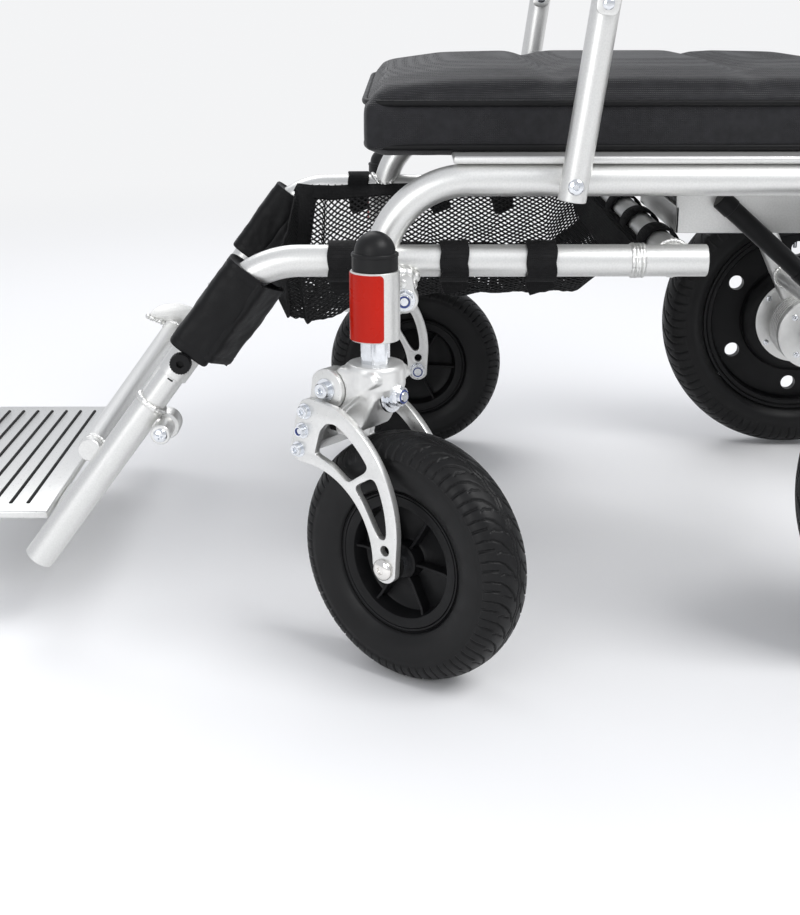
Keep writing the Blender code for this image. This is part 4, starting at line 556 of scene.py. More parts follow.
def cross_pin(bolts, insert, side, place, height):
    """An armrest's pin: its shank from inside the rail to the arm, a lock nut and a domed head."""
    x = side * ARM_X
    nylock(bolts, insert, facing(side * (RAIL_X - TUBE - 0.0003), place, -1), 0.0125, height, 0.0036, 0.0003, 0.0006)
    bolts.bar(at(side * (RAIL_X - TUBE - 0.002), place), at(x, place), 0.004)
    button_screw(bolts, facing(x + side * 0.0106, place), 0.0062, 0.0034, 0.004)


# Camera and light, as in the photograph

CAMERA_PLACE = Vector((1.37792, 0.02045, 0.52105))
CAMERA_YAW, CAMERA_PITCH, CAMERA_ROLL = -0.0017, 0.3112, -0.0014
FOCAL_PIXELS, FRAME_PIXELS, SENSOR = 1454.18, 915.0, 36.0


def camera():
    level = Vector((-cos(CAMERA_YAW), sin(CAMERA_YAW), 0.0))
    right = Vector((sin(CAMERA_YAW), cos(CAMERA_YAW), 0.0))
    up = Vector((0.0, 0.0, 1.0))
    ahead = level * cos(CAMERA_PITCH) - up * sin(CAMERA_PITCH)
    above = up * cos(CAMERA_PITCH) + level * sin(CAMERA_PITCH)
    x = right * cos(CAMERA_ROLL) + above * sin(CAMERA_ROLL)
    y = above * cos(CAMERA_ROLL) - right * sin(CAMERA_ROLL)
    made = bpy.data.objects.new("camera", bpy.data.cameras.new("camera"))
    made.data.sensor_width = SENSOR
    made.data.lens = FOCAL_PIXELS / FRAME_PIXELS * SENSOR
    made.data.clip_end = 200.0
    bpy.context.scene.collection.objects.link(made)
    turn = Matrix((x, y, -ahead)).transposed().to_4x4()
    made.matrix_world = SHIFT @ Matrix.Translation(CAMERA_PLACE) @ turn
    bpy.context.scene.camera = made


def area_light(name, place, target, size, power):
    made = bpy.data.objects.new(name, bpy.data.lights.new(name, "AREA"))
    made.data.shape = "RECTANGLE"
    made.data.size, made.data.size_y = size
    made.data.energy = power
    bpy.context.scene.collection.objects.link(made)
    made.matrix_world = aim(place, Vector(place) * 2 - Vector(target))


BACKDROP = (0.9, 0.905, 0.915)


def studio():
    """A pale floor that fades into an even backdrop, a plain sky and three soft lights."""
    scene = bpy.context.scene
    scene.view_settings.view_transform = "Standard"
    scene.world = bpy.data.worlds.new("studio")
    scene.world.use_nodes = True
    tree = scene.world.node_tree
    sky = feed(tree, tree.nodes["Background"], {"Color": (0.93, 0.95, 1.0, 1.0), "Strength": 0.72})
    seen = node(tree, "Background", {"Color": (*BACKDROP, 1.0), "Strength": 1.0})
    rays = node(tree, "LightPath", {}).outputs
    most = node(tree, "Math", {0: rays["Is Camera Ray"], 1: rays["Is Transmission Ray"]}, operation="MAXIMUM")
    mix = node(tree, "MixShader", {"Fac": most.outputs[0], 1: sky.outputs[0], 2: seen.outputs[0]})
    feed(tree, tree.nodes["World Output"], {"Surface": mix.outputs[0]})

    floor = Solid(Matrix())
    turns = [2 * pi * k / 64 for k in range(64)]
    floor.rows([[Vector()], *([Vector((s * cos(t), s * sin(t), 0)) for t in turns] for s in (1, 4, 90))], caps=False)
    mesh = bpy.data.meshes.new("floor")
    floor.mesh.to_mesh(mesh)
    ground = bpy.data.objects.new("floor", mesh)
    scene.collection.objects.link(ground)
    made = bpy.data.materials.new("floor")
    made.use_nodes = True
    tree = made.node_tree
    near = feed(tree, tree.nodes["Principled BSDF"],
                {"Base Color": (0.86, 0.86, 0.865, 1.0), "Roughness": 0.6, "Specular IOR Level": 0.3})
    far = node(tree, "Emission", {"Color": (*BACKDROP, 1.0)})
    spread = node(tree, "VectorMath", {0: node(tree, "TexCoord", {}).outputs["Object"]}, operation="LENGTH")
    span = node(tree, "MapRange", {"From Min": 0.7, "From Max": 3.0, "Value": spread.outputs["Value"]},
                interpolation_type="SMOOTHSTEP")
    mix = node(tree, "MixShader", {"Fac": span.outputs[0], 1: near.outputs[0], 2: far.outputs[0]})
    feed(tree, tree.nodes["Material Output"], {"Surface": mix.outputs[0]})
    mesh.materials.append(made)
    area_light("key", (1.3, 1.5, 2.4), (0.1, 0.0, 0.3), (1.8, 1.2), 52.0)
    area_light("fill", (2.4, -1.4, 1.2), (0.0, 0.0, 0.3), (1.6, 1.6), 20.0)
    area_light("rim", (-1.6, -0.6, 2.2), (0.0, 0.0, 0.3), (1.6, 1.0), 20.0)


camera()
studio()


# Front frame tubes

def front_tubes(side, name):
    """The lower rail with its hanger, the seat rail with its riser, and their welds."""
    x = side * RAIL_X
    corner = at(x, KNOB + HANGER * ((RAIL_Z - KNOB.z) / HANGER.z))
    path = bent([(x, RAIL_END, RAIL_Z), corner, at(x, KNOB + HANGER * HANGER_END)], BEND)
    tube = Solid().pipe(path, TUBE, 56, (0.0, 0.07))
    tube.piece(name + "side_tube_skin", SILVER, "frame", [name + "side_tube"])
    drop = (SEAT_RAIL_Z - BACK_HINGE.z) / CANE.z
    foot, top = (x, RISER_Y, RAIL_Z + 0.002), (x, RISER_Y, SEAT_RAIL_Z)
    path = bent([foot, top, at(x, BACK_HINGE + CANE * drop), at(x, BACK_HINGE + CANE * 0.013)], BEND)
    rail = Solid().pipe(path, TUBE, 56)
    rail.piece(name + "upper_rail_skin", SILVER, "frame", [name + "upper_rail"])
    saddle = []
    for c, s in TURNS:
        dx, dy = (TUBE + 0.0012) * c, (TUBE + 0.0012) * s
        saddle.append((x + dx, RISER_Y + dy, RAIL_Z + sqrt(max(0.0, (TUBE + 0.0005) ** 2 - min(dx * dx, TUBE ** 2)))))
    bead = Solid().weld(saddle, 0.0019, seed=side)
    for pass_y in (0.203, 0.2055, 0.2082, 0.2108):
        ring = [(x + (TUBE - 0.001) * c, pass_y + 0.0004 * sin(900 * pass_y + 6 * c), RAIL_Z + (TUBE - 0.001) * s)
                for c, s in TURNS]
        bead.weld(ring, 0.0021, 0.8, seed=2.0 + side)
    ring = [(x - side * TUBE, CROSS_Y + (TUBE + 0.001) * c, RAIL_Z + (TUBE + 0.001) * s) for c, s in TURNS]
    bead.weld(ring, 0.0022, seed=4.0 + side)
    bead.piece(name + "frame_welds", WELD, "frame", slot=name + "side_tube", angle=60)


def cross_tube():
    half = RAIL_X - TUBE + 0.002
    tube = Solid().pipe([(-half, CROSS_Y, RAIL_Z), (half, CROSS_Y, RAIL_Z)], TUBE, 56)
    tube.piece("base_cross_tube_skin", SILVER, "frame", ["base_cross_tube"])


# Caster housing, cap and reflector

HOUSING = 0.0189
HOUSING_LOW, HOUSING_HIGH = 0.268, 0.321


def housing(side, name):
    """The caster's barrel with its bridge and ear, the weld between them and the ear's nut."""
    x = side * CASTER_X
    edge = 0.0007
    barrel = Solid().lathe([(0.0086, HOUSING_LOW), (HOUSING - edge, HOUSING_LOW), (HOUSING, HOUSING_LOW + edge),
                            (HOUSING, HOUSING_HIGH - edge), (HOUSING - edge, HOUSING_HIGH), (0.0086, HOUSING_HIGH)],
                           move(x, 0, 0), 96, closed=True)
    barrel.box((side * (RAIL_X + 0.006), -0.013, 0.289), (side * (CASTER_X - 0.01), 0.013, 0.316), 0.005)
    ear = Vector((0, 0.022, 0.2895))
    outline = arc((ear.y, ear.z), 0.0112, -150.0, 40.0, 24)
    outline += [(0.03, 0.301), (0.0285, 0.309), (0.01, 0.31), (0.006, 0.3), (0.009, 0.285)]
    barrel.plate([fillet(outline, 0.004)], side * 0.237, side * 0.2555, 0.0022)
    barrel.piece(name + "housing_skin", SILVER, "frame", [name + "caster_housing"])
    mass = Solid()
    for y, z, size, lift in ((0.012, 0.3075, 0.0062, 0.0), (0.018, 0.3095, 0.0066, 0.002),
                             (0.0245, 0.3085, 0.0064, 0.001), (0.03, 0.306, 0.005, -0.001),
                             (0.013, 0.3015, 0.0055, 0.004), (0.0205, 0.3025, 0.0062, 0.005),
                             (0.0275, 0.3005, 0.0052, 0.003)):
        centre = Vector((side * (0.2455 + lift), y, z))
        profile = [(0, -size)] + [(size * cos(t), size * sin(t)) for t in (radians(-75 + 15 * i) for i in range(11))]
        mass.lathe(profile + [(0, size)], Matrix.Translation(centre), 20)
    mass.piece(name + "housing_weld", WELD, "frame", slot=name + "caster_housing", angle=0, modifiers=[
        ("REMESH", {"mode": "VOXEL", "voxel_size": 0.0009}), ("SMOOTH", {"factor": 0.5, "iterations": 5})])
    out = facing(side * 0.2556, ear)
    metal, insert = Solid(), Solid()
    washer(metal, out, 0.0088, 0.004, 0.0012)
    nylock(metal, insert, out, 0.013, 0.005, 0.0037, 0.0012, 0.0012)
    pieces("frame", name + "caster_housing", (metal, name + "ear_nut", ZINC),
           (insert, name + "ear_nut_insert", NYLON))


def cap(side, name):
    base, skirt, dome, lip, top = HOUSING_HIGH + 0.0002, 0.0175, 0.0156, 0.3345, 0.3502
    profile = [(0, base), (skirt - 0.0006, base), (skirt, base + 0.0006), (skirt - 0.0001, lip - 0.003),
               (skirt + 0.0004, lip - 0.0026), (skirt + 0.0004, lip - 0.0009), (skirt - 0.0002, lip - 0.0002),
               (dome + 0.0007, lip), (dome + 0.0003, lip - 0.0005), (dome, lip + 0.0003)]
    profile += [(dome * cos(t), lip + (top - lip) * sin(t)) for t in (radians(5.0 * i) for i in range(1, 18))]
    cover = Solid().lathe(profile + [(0, top)], move(side * CASTER_X, 0, 0), 96)
    cover.piece(name + "cap_skin", CAP, "frame", [name + "housing_cap"])


def reflector(side, name):
    """The glossy sticker round the front of the housing, with rounded corners."""
    first, last = radians(-111.0), radians(21.0)
    low, high, corner = 0.2689, 0.3198, 0.0032
    radius, thick = HOUSING + 0.00015, 0.00035
    width = (last - first) * radius
    columns = [min(width, max(0.0, w)) for w in
               [corner * (1 - cos(radians(15.0 * i))) for i in range(7)]
               + [corner + (width - 2 * corner) * i / 40 for i in range(1, 40)]
               + [width - corner * (1 - cos(radians(15.0 * (6 - i)))) for i in range(7)]]
    rows = []
    for w in columns:
        inset = min(w, width - w)
        drop = corner - sqrt(max(0.0, corner ** 2 - (corner - inset) ** 2)) if inset < corner else 0.0
        angle = first + w / radius
        way = Vector((side * cos(angle), sin(angle), 0))
        base = Vector((side * CASTER_X, 0, 0))
        lows, highs = low + drop, high - drop
        knots = [(radius - 0.0002, lows), (radius + thick, lows + 0.0001), (radius + thick, highs - 0.0001),
                 (radius - 0.0002, highs)]
        rows.append([base + way * r + Vector((0, 0, z)) for r, z in knots])
    Solid().rows(rows).piece(name + "reflector", RED, "frame", slot=name + "caster_housing")


# Cast fork head

def fork_head(side, name):
    place = caster_frame(side)
    cast = Solid(place)
    cast.lathe([(0, 0.226), (0.0205, 0.226), (0.023, 0.233), (0.023, 0.2465), (0.0212, 0.25), (0, 0.25)], steps=72)
    hood = [(-0.02, 0.247), (0.014, 0.247), (0.0205, 0.24), (0.01, 0.233), (-0.002, 0.224), (-0.013, 0.215),
            (-0.021, 0.206), (-0.0262, 0.2), (-0.0262, 0.2095), (-0.03, 0.228), (-0.0265, 0.24)]
    cast.plate([fillet(hood, 0.004)], -0.0225, 0.0225, 0.003)
    wall = [(-0.018, 0.238), (0.012, 0.238), (0.014, 0.225), (0.0105, 0.218), (0.001, 0.2015), (-0.001, 0.199),
            (-0.0156, 0.1915), (-0.0262, 0.1925), (-0.0262, 0.22)]
    cast.plate([fillet(wall, 0.003)], -0.0185, 0.0185, 0.002)
    lug = arc((PIVOT.y, PIVOT.z), 0.014, 90.0, 285.0, 24) + [(-0.01, 0.214), (-0.006, 0.24)]
    cast.plate([lug], -0.0098, 0.0098, 0.0008)
    cast.lathe([(0, -0.006), (0.0075, -0.006), (0.0122, 0.0185), (0.0128, 0.0225), (0.012, 0.023), (0, 0.023)],
               aim((0, -0.008, 0.2255), (0, 0.0145, 0.2265)), 48)
    head = cast.piece(name + "fork_casting", CAST, name + "fork", [name + "fork_head"], angle=0)
    shape(head, ("REMESH", {"mode": "VOXEL", "voxel_size": 0.0008}))
    rooms = Solid(place)
    for face in (1, -1):
        rooms.bar(at(face * 0.01, PIVOT), at(face * 0.05, PIVOT), 0.0166, 0.0001, 96)
    carve_out(head, rooms)
    shape(head, ("REMESH", {"mode": "VOXEL", "voxel_size": 0.0007}), ("SMOOTH", {"factor": 0.5, "iterations": 7}))
    head.data.shade_smooth()

    stem = Solid(place)
    hexagon = 0.0207
    stem.lathe([(0, 0.249), (six(hexagon, 0.0112), 0.25), (six(hexagon), 0.251), (six(hexagon), 0.2668),
                (six(hexagon, 0.0108), 0.2677), (0.0082, 0.2677), (0.0082, 0.318), (0, 0.318)], steps=96)
    stem.piece(name + "stem", ZINC, name + "fork", slot=name + "fork_head")
    metal, insert, dark = Solid(place), Solid(place), Solid(place)
    back = aim((0, 0.0145, 0.2265), (0, 0.0295, 0.2272))
    dark.lathe([(0.01, 0.0004), (0.0136, 0.0004), (0.0136, 0.0014), (0.01, 0.0014)], back, 48, closed=True)
    washer(metal, back @ move(0, 0, 0.0014), 0.0134, 0.004, 0.0016)
    washer(metal, back @ move(0, 0, 0.003), 0.0098, 0.004, 0.0014)
    nylock(metal, insert, back, 0.0145, 0.007, 0.0041, 0.0044, 0.003)
    pieces(name + "fork", name + "fork_head", (metal, name + "boss_nut", ZINC),
           (insert, name + "boss_nut_insert", NYLON), (dark, name + "boss_seal", RUBBER))
    block = Solid(place).box((-0.012, -0.0384, 0.1915), (0.012, -0.0265, 0.2055), 0.0022)
    pad = block.piece(name + "rubber_skin", RUBBER, name + "fork", [name + "rubber_block"])
    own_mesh(pad)


# Trailing arm: machined plates, clevis block, screws and axle

SCREWS = ((0.077, 0.212), (0.08, 0.196), (0.0845, 0.18))


def arm_outlines():
    """The plate's outline and its upper and lower openings."""
    t = TRAIL
    outline = arc((t - 0.0896, 0.1265), 0.1022, 65.0, -6.0, 60)
    outline += arc((t + 0.0005, WHEEL), 0.0114, -25.0, -155.0, 24)
    outline += arc((t - 0.0792, 0.1016), 0.0683, 2.0, 92.0, 48)
    outline += [(t - 0.0875, 0.1712), (t - 0.0925, 0.175), (t - 0.093, 0.181), (t - 0.0855, 0.212),
                (t - 0.0815, 0.2195), (t - 0.074, 0.223)]
    upper = [(t - 0.0685, 0.179), (t - 0.0625, 0.1985), (t - 0.056, 0.2055), (t - 0.048, 0.2063)]
    upper += arc((t - 0.0896, 0.1265), 0.0905, 57.0, 35.0, 12)
    upper += [(t - 0.018, 0.1738), (t - 0.0335, 0.1632), (t - 0.0375, 0.1634), (t - 0.052, 0.1732)]
    lower = [(t - 0.0278, 0.159), (t - 0.0262, 0.1622), (t - 0.0125, 0.1702), (t - 0.0085, 0.1692)]
    lower += arc((t - 0.0896, 0.1265), 0.092, 25.0, 1.0, 14)
    lower += [(t + 0.0012, 0.1236), (t - 0.0045, 0.1236), (t - 0.01, 0.1313), (t - 0.015, 0.1405), (t - 0.02, 0.1485),
              (t - 0.0247, 0.1546)]
    return fillet(outline, 0.005), rounded(upper, 0.0046), rounded(lower, 0.0036)


def trailing_arm(side, name):
    place, body = caster_frame(side), name + "trailing_arm"
    t = TRAIL
    outline, upper, lower = arm_outlines()
    holes = [circle((t + 0.0002, WHEEL), 0.0053), circle((t + 0.0009, 0.115), 0.0042)]
    for word, outward in (("outer", side), ("inner", -side)):
        made = Solid(place).plate([outline, upper, lower, *holes], outward * PLATE_IN, outward * PLATE_OUT, 0.0006)
        made.piece(name + "arm_" + word + "_skin", MACHINED, body, [name + "arm_" + word + "_plate"])
    block = Solid(place)
    y, z = PIVOT.y, PIVOT.z
    cheek = arc((y, z), 0.016, -90.0, 150.0, 40) + [(y - 0.0165, 0.219), (y - 0.019, 0.206), (y - 0.0045, 0.206)]
    for face in (1, -1):
        block.plate([fillet(cheek, 0.002, 35.0)], face * 0.0104, face * 0.026, 0.0008)
    web = [(y - 0.0095, 0.2145), (y - 0.0205, 0.2135), (y - 0.0275, 0.176), (y - 0.02, 0.1735), (y - 0.01, 0.185)]
    block.plate([fillet(web, 0.002)], -0.0302, 0.0302, 0.0006)
    block.piece(name + "arm_block_skin", MACHINED, body, [name + "arm_block"])
    metal, insert, shiny, dark = Solid(place), Solid(place), Solid(place), Solid(place)
    for outward in (1, -1):
        pivot = facing(outward * 0.026, PIVOT)
        washer(metal, pivot, 0.0088, 0.004, 0.0012)
        if outward == side:
            socket_screw(metal, pivot, 0.006, 0.0058, 0.005, 0.0012)
        else:
            nylock(metal, insert, pivot, 0.0125, 0.0045, 0.0038, 0.0012, 0.001)
        for k, (ahead, height) in enumerate(SCREWS):
            spot = Vector((0, t - ahead, height))
            out = facing(outward * PLATE_OUT, spot)
            washer(metal, out, 0.0064, 0.003, 0.0009)
            if k == 1:
                nylock(metal, insert, out, 0.0088, 0.0028, 0.0027, 0.0009, 0.0006)
            else:
                socket_screw(metal, out, 0.0047, 0.0042, 0.0042, 0.0009)
        shaft = facing(outward * PLATE_OUT, AXLE)
        if outward == side:
            button_screw(shiny, shaft, 0.0086, 0.005, 0.0052, 0.0002)
        else:
            washer(metal, shaft, 0.0088, 0.005, 0.001)
            nylock(metal, insert, shaft, 0.015, 0.0058, 0.0048, 0.001, 0.0015)
        spacer = facing(outward * 0.0168, AXLE)
        metal.lathe([(0.0052, 0), (0.0085, 0), (0.0085, 0.0134), (0.0052, 0.0134)], spacer, 40, closed=True)
        dark.lathe([(0.0054, 0.009), (0.0112, 0.009), (0.0112, 0.0122), (0.0054, 0.0122)], spacer, 48, closed=True)
    bar = aim(at(-0.04, AXLE), at(0.04, AXLE))
    shiny.lathe([(0, 0), (0.005, 0), (0.005, 0.08), (0, 0.08)], bar, 32)
    shiny.piece(name + "axle_skin", POLISHED, body, [name + "axle_bolt"])
    pieces(body, name + "axle_bolt", (metal, name + "arm_screws", ZINC), (insert, name + "arm_inserts", NYLON),
           (dark, name + "axle_seals", RUBBER))


# Wheels, drawn with their axle along X and their centre at the origin

ALONG_X = Matrix.Rotation(pi / 2, 4, "Y")


def groove(u, v, path, width, depth, pitch):
    """Depth of a rounded groove along a path that repeats each pitch, at tread points u, v."""
    blur = 0.00028
    best = np.full(u.shape, 1.0)
    for turn in (-1, 0, 1):
        for (ua, va), (ub, vb) in zip(path, path[1:]):
            du, dv = ub - ua, vb - va
            pu, pv = u - ua - turn * pitch, v - va
            share = np.clip((pu * du + pv * dv) / (du * du + dv * dv), 0, 1)
            best = np.minimum(best, np.hypot(pu - share * du, pv - share * dv))
    edge = np.clip((width / 2 + blur - best) / (2 * blur), 0, 1)
    return depth * edge * edge * (3 - 2 * edge)


def tyre(half, rows, columns, carve):
    """A closed tyre from (radius, across) knots of one half of its skin, carved where carve says."""
    profile, bead_rows = mirrored(half), 3
    line = smooth_line(profile, rows)
    step = np.gradient(line, axis=0)
    step /= np.linalg.norm(step, axis=1)[:, None]
    out = np.stack([-step[:, 1], step[:, 0]], axis=1)
    if out[rows // 2, 0] < 0:
        out = -out
    run = np.concatenate([[0], np.cumsum(np.linalg.norm(np.diff(line, axis=0), axis=1))])
    turn = np.arange(columns) * 2 * pi / columns
    depth = carve(run[:, None] - run[-1] / 2 + 0 * turn, turn[None, :] + 0 * run[:, None])
    radius = line[:, 0, None] - out[:, 0, None] * depth
    across = line[:, 1, None] - out[:, 1, None] * depth
    inner_r = np.full((bead_rows, columns), profile[0][0])
    inner_x = np.linspace(profile[-1][1], profile[0][1], bead_rows + 2)[1:-1, None] + 0 * turn
    radius, across = np.vstack([radius, inner_r]), np.vstack([across, inner_x])
    return np.stack([across, radius * np.cos(turn), radius * np.sin(turn)], axis=2).tolist()


def tread(radius, count, scale):
    """The depth of curved grooves, slots, ticks and a zigzag centre, repeated count times round a tyre."""
    pitch, half, mm = 2 * pi * radius / count, 0.0317 * scale, 0.001 * scale
    paths = [([(0, 0), (0.4, 7), (2.2, 14), (6.2, 20), (12, 24.6), (19, 27.6)], 1.1, 1.5),
             ([(8.4, -0.4), (8.6, 6), (9.5, 12.4)], 1.9, 1.5),
             ([(13.0, 14.2), (12.2, 17.6), (13.6, 18.6), (15.6, 23.0)], 0.9, 1.1),
             ([(0, 29.0), (8.72, 31.0), (17.45, 29.0)], 0.9, 1.1)]

    def carve(v, turn):
        depth = np.zeros(v.shape)
        for face in (1, -1):
            inward = half - face * v
            u = (turn * radius * face + (pitch / 2 if face < 0 else 0)) % pitch
            inside = ((inward > -0.0002) & (inward < half + 0.002)).astype(float)
            for path, width, deep in paths:
                line = [(a * mm, b * mm) for a, b in path]
                depth = np.maximum(depth, inside * groove(u, inward, line, width * mm, deep * mm, pitch))
            ledge = np.clip(-inward / 0.0005, 0, 1) * np.clip((inward + 0.0045) / 0.004, 0, 1)
            depth = np.maximum(depth, 0.0007 * ledge)
        return depth

    return carve


def caster_wheel(side, name):
    """The caster's tyre and its rim with six ribs on each face."""
    place = caster_frame(side) @ Matrix.Translation(AXLE)
    body = name + "caster_wheel"
    half = [(0.0578, 0.018), (0.06, 0.0204), (0.068, 0.02375), (0.079, 0.025), (0.088, 0.0235), (0.0955, 0.0168),
            (0.099, 0.0088), (0.1, 0.0)]
    count, rows = ((936, 190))
    skin = Solid(place).rows(tyre(half, rows, count, tread(WHEEL, 36, 1.0)), True)
    skin.piece(name + "caster_tyre_skin", TYRE, body, [name + "caster_tyre"], angle=0)
    rim = Solid(place)
    knots = [(0.0054, 0.0166), (0.0125, 0.0166), (0.014, 0.0152), (0.015, 0.0045), (0.0175, 0.003), (0.04, 0.0032),
             (0.0428, 0.005), (0.0452, 0.016), (0.0458, 0.0172), (0.0466, 0.0176), (0.0535, 0.018), (0.054, 0.0172),
             (0.0546, 0.018), (0.0558, 0.018), (0.0563, 0.0171), (0.057, 0.0178), (0.0577, 0.0172), (0.0577, 0.0)]
    rim.lathe(mirrored(knots), ALONG_X, 128, closed=True)
    for i in range(6):
        turn = spin(60.0 * i + 27.0, "X")
        for face in (1, -1):
            rib = [(0.013, 0.0), (0.013, 0.014), (0.02, 0.0128), (0.04, 0.013), (0.0449, 0.0148), (0.0449, 0.0)]
            flanks = ((0.0011, 0.0004), (0.0007, 0.0), (-0.0007, 0.0), (-0.0011, 0.0004))
            rim.rows([[turn @ Vector((face * max(0.0, a - low), flank, r)) for r, a in rib] for flank, low in flanks])
    rim.piece(name + "caster_rim_skin", PLASTIC, body, [name + "caster_rim"])


for side, name in SIDES:
    front_tubes(side, name)
    housing(side, name)
    cap(side, name)
    reflector(side, name)
    fork_head(side, name)
    trailing_arm(side, name)
    caster_wheel(side, name)
cross_tube()

# Net basket with its bands and loops

BASKET_HALF, BASKET_FRONT, BASKET_REAR = 0.2158, -0.095, 0.2226


def basket_point(u, v, lift=0.0):
    """The basket's sagging surface: u across from -1 to 1, v from the front rim to the rear."""
    spans = (((1 - abs(u)) / 0.42, 0.8), (v * (1.9 - v / 0.11) / 0.11, 0.85), ((1 - v) / 0.16, 0.7))
    ease = [min(1.0, max(0.0, share)) ** power for share, power in spans]
    ease[1] = 1.0 if v > 0.1 else ease[1]
    depth = 0.046 + 0.044 * max(0.0, 1 - v / 0.32) + 0.006 * cos(3 * pi * u) * sin(pi * v)
    sag = depth * ease[0] * ease[1] * ease[2]
    dip = 0.03 * (1 - u * u) * max(0.0, 1 - v / 0.08)
    fold = 0.0025 * sin(9 * pi * v + 5 * u) * ease[0] * ease[2]
    fold += 0.005 * noise.noise(Vector((u * 7, v * 11, 0.3))) * ease[0] * ease[2] * (1 - 0.6 * v)
    z = RAIL_Z + 0.004 - sag - dip - abs(fold) - lift
    return Vector((u * BASKET_HALF, BASKET_FRONT + (BASKET_REAR - BASKET_FRONT) * v, z))


def even_shares(curve, count):
    """Shares of a curve at even steps of its length."""
    line = np.array([curve(k / 400) for k in range(401)])
    run = np.concatenate([[0], np.cumsum(np.linalg.norm(np.diff(line, axis=0), axis=1))])
    return np.interp(np.linspace(0, run[-1], count), run, np.linspace(0, 1, 401)), run[-1]


BAND_SECTION = [(-1, -0.3), (-0.96, -1), (0.96, -1), (1, -0.3), (1, 0.3), (0.96, 1), (0.0, 1.15), (-0.96, 1),
                (-1, 0.3)]


def band(solid, points, width_way, width, thick):
    """A woven strip along points, its width along a given way, with soft rounded edges."""
    points = [Vector(p) for p in points]
    rows = []
    for i, place in enumerate(points):
        ahead = (points[min(i + 1, len(points) - 1)] - points[max(i - 1, 0)]).normalized()
        wide = width_way[i] if isinstance(width_way, list) else width_way
        wide = (wide - ahead * wide.dot(ahead)).normalized()
        up = ahead.cross(wide)
        rows.append([place + wide * (a * width / 2) + up * (b * thick / 2) for a, b in BAND_SECTION])
    solid.rows(rows)


NET_ACROSS, NET_DOWN = 65, 48


def basket():
    """The net with a hole in each diamond of its lattice, its bands and the loops round the tubes."""
    across, wide = even_shares(lambda s: basket_point(2 * s - 1, 0.5), 2 * NET_ACROSS + 1)
    down, long = even_shares(lambda s: basket_point(0.0, s), 2 * NET_DOWN + 1)
    net = Solid()
    spots = {}
    for i, s in enumerate(across):
        for j, v in enumerate(down):
            if (i + j) % 2 == 0:
                spots[i, j] = net.mesh.verts.new(basket_point(2 * s - 1, v))
    holes = []
    for (i, j) in list(spots):
        ring = [spots.get(k) for k in ((i, j), (i + 1, j + 1), (i, j + 2), (i - 1, j + 1))]
        if None not in ring:
            holes.append(net.mesh.faces.new(ring))
    net.mesh.normal_update()
    bmesh.ops.inset_individual(net.mesh, faces=holes, thickness=0.00108)
    bmesh.ops.delete(net.mesh, geom=holes, context="FACES")
    skin = net.piece("basket_net", NET, "frame", ["basket"], angle=0,
                     modifiers=[("SOLIDIFY", {"thickness": 0.001, "offset": 0.0})])
    bands = Solid()
    shares = [k / 60 for k in range(61)]
    for v in (0.035, 0.965):
        line = [basket_point(1.96 * s - 0.98, v, -0.0006) for s in shares]
        ways = [basket_point(1.96 * s - 0.98, v + 0.03) - basket_point(1.96 * s - 0.98, v - 0.03) for s in shares]
        band(bands, line, ways, 0.024, 0.0026)
    for u, inward in ((-0.972, 0.02), (0.972, -0.02)):
        ways = [basket_point(u + inward, s) - basket_point(u - inward, s) for s in shares]
        band(bands, [basket_point(u, s) for s in shares], ways, 0.018, 0.0024)
    for side in (1, -1):
        for start, width in ((-0.038, 0.022), (0.0505, 0.0222), (0.1185, 0.0236)):
            middle = start + width / 2
            ring = [(side * RAIL_X + (TUBE + 0.0026) * cos(t), middle + 0.0006 * sin(5 * t + start * 90),
                     RAIL_Z + (TUBE + 0.0026 + 0.0004 * sin(3 * t)) * sin(t))
                    for t in (pi + 2 * pi * k / 48 for k in range(49))]
            band(bands, ring, Vector((0, 1, 0)), width, 0.0024)
            foot = side * (RAIL_X - 0.004)
            tail = [(foot, middle, RAIL_Z - TUBE - 0.001), (foot - side * 0.002, middle, RAIL_Z - TUBE - 0.006),
                    (foot - side * 0.005, middle + 0.003, RAIL_Z - TUBE - 0.013)]
            band(bands, tail, Vector((0, 1, 0)), width * 0.94, 0.0034)
    for x in (-0.15, -0.05, 0.05, 0.15):
        ring = [(x, CROSS_Y + (TUBE + 0.0024) * c, RAIL_Z + (TUBE + 0.0024) * s) for c, s in TURNS + TURNS[:1]]
        band(bands, ring, Vector((1, 0, 0)), 0.032, 0.0022)
        band(bands, [(x, CROSS_Y - 0.004, RAIL_Z - TUBE - 0.001), (x, CROSS_Y - 0.014, RAIL_Z - TUBE + 0.0015),
                     (x, BASKET_REAR - 0.006, RAIL_Z - 0.004)], Vector((1, 0, 0)), 0.03, 0.0026)
    trim = bands.piece("basket_bands", WEBBING, "frame", slot="basket", angle=50)


# Calf strap: a padded sleeve round each hanger and the panel between them

WRAP = [(0.0166 * abs(c) ** (0.58 if s < 0 else 0.36) * (1 if c > 0 else -1),
         0.0176 * abs(s) ** (0.58 if s < 0 else 0.36) * (1 if s > 0 else -1)) for c, s in TURNS]
WING = [(-0.0155, 0.012), (0.0000, 0.012), (0.0148, 0.012), (0.016, 0.0148), (0.0162, 0.0166), (0.014, 0.0192),
        (0.008, 0.0224), (0.001, 0.0259), (-0.007, 0.0298), (-0.013, 0.0326), (-0.019, 0.0338), (-0.025, 0.0332),
        (-0.0262, 0.0312), (-0.024, 0.029), (-0.019, 0.028), (-0.0168, 0.024), (-0.0166, 0.016)]


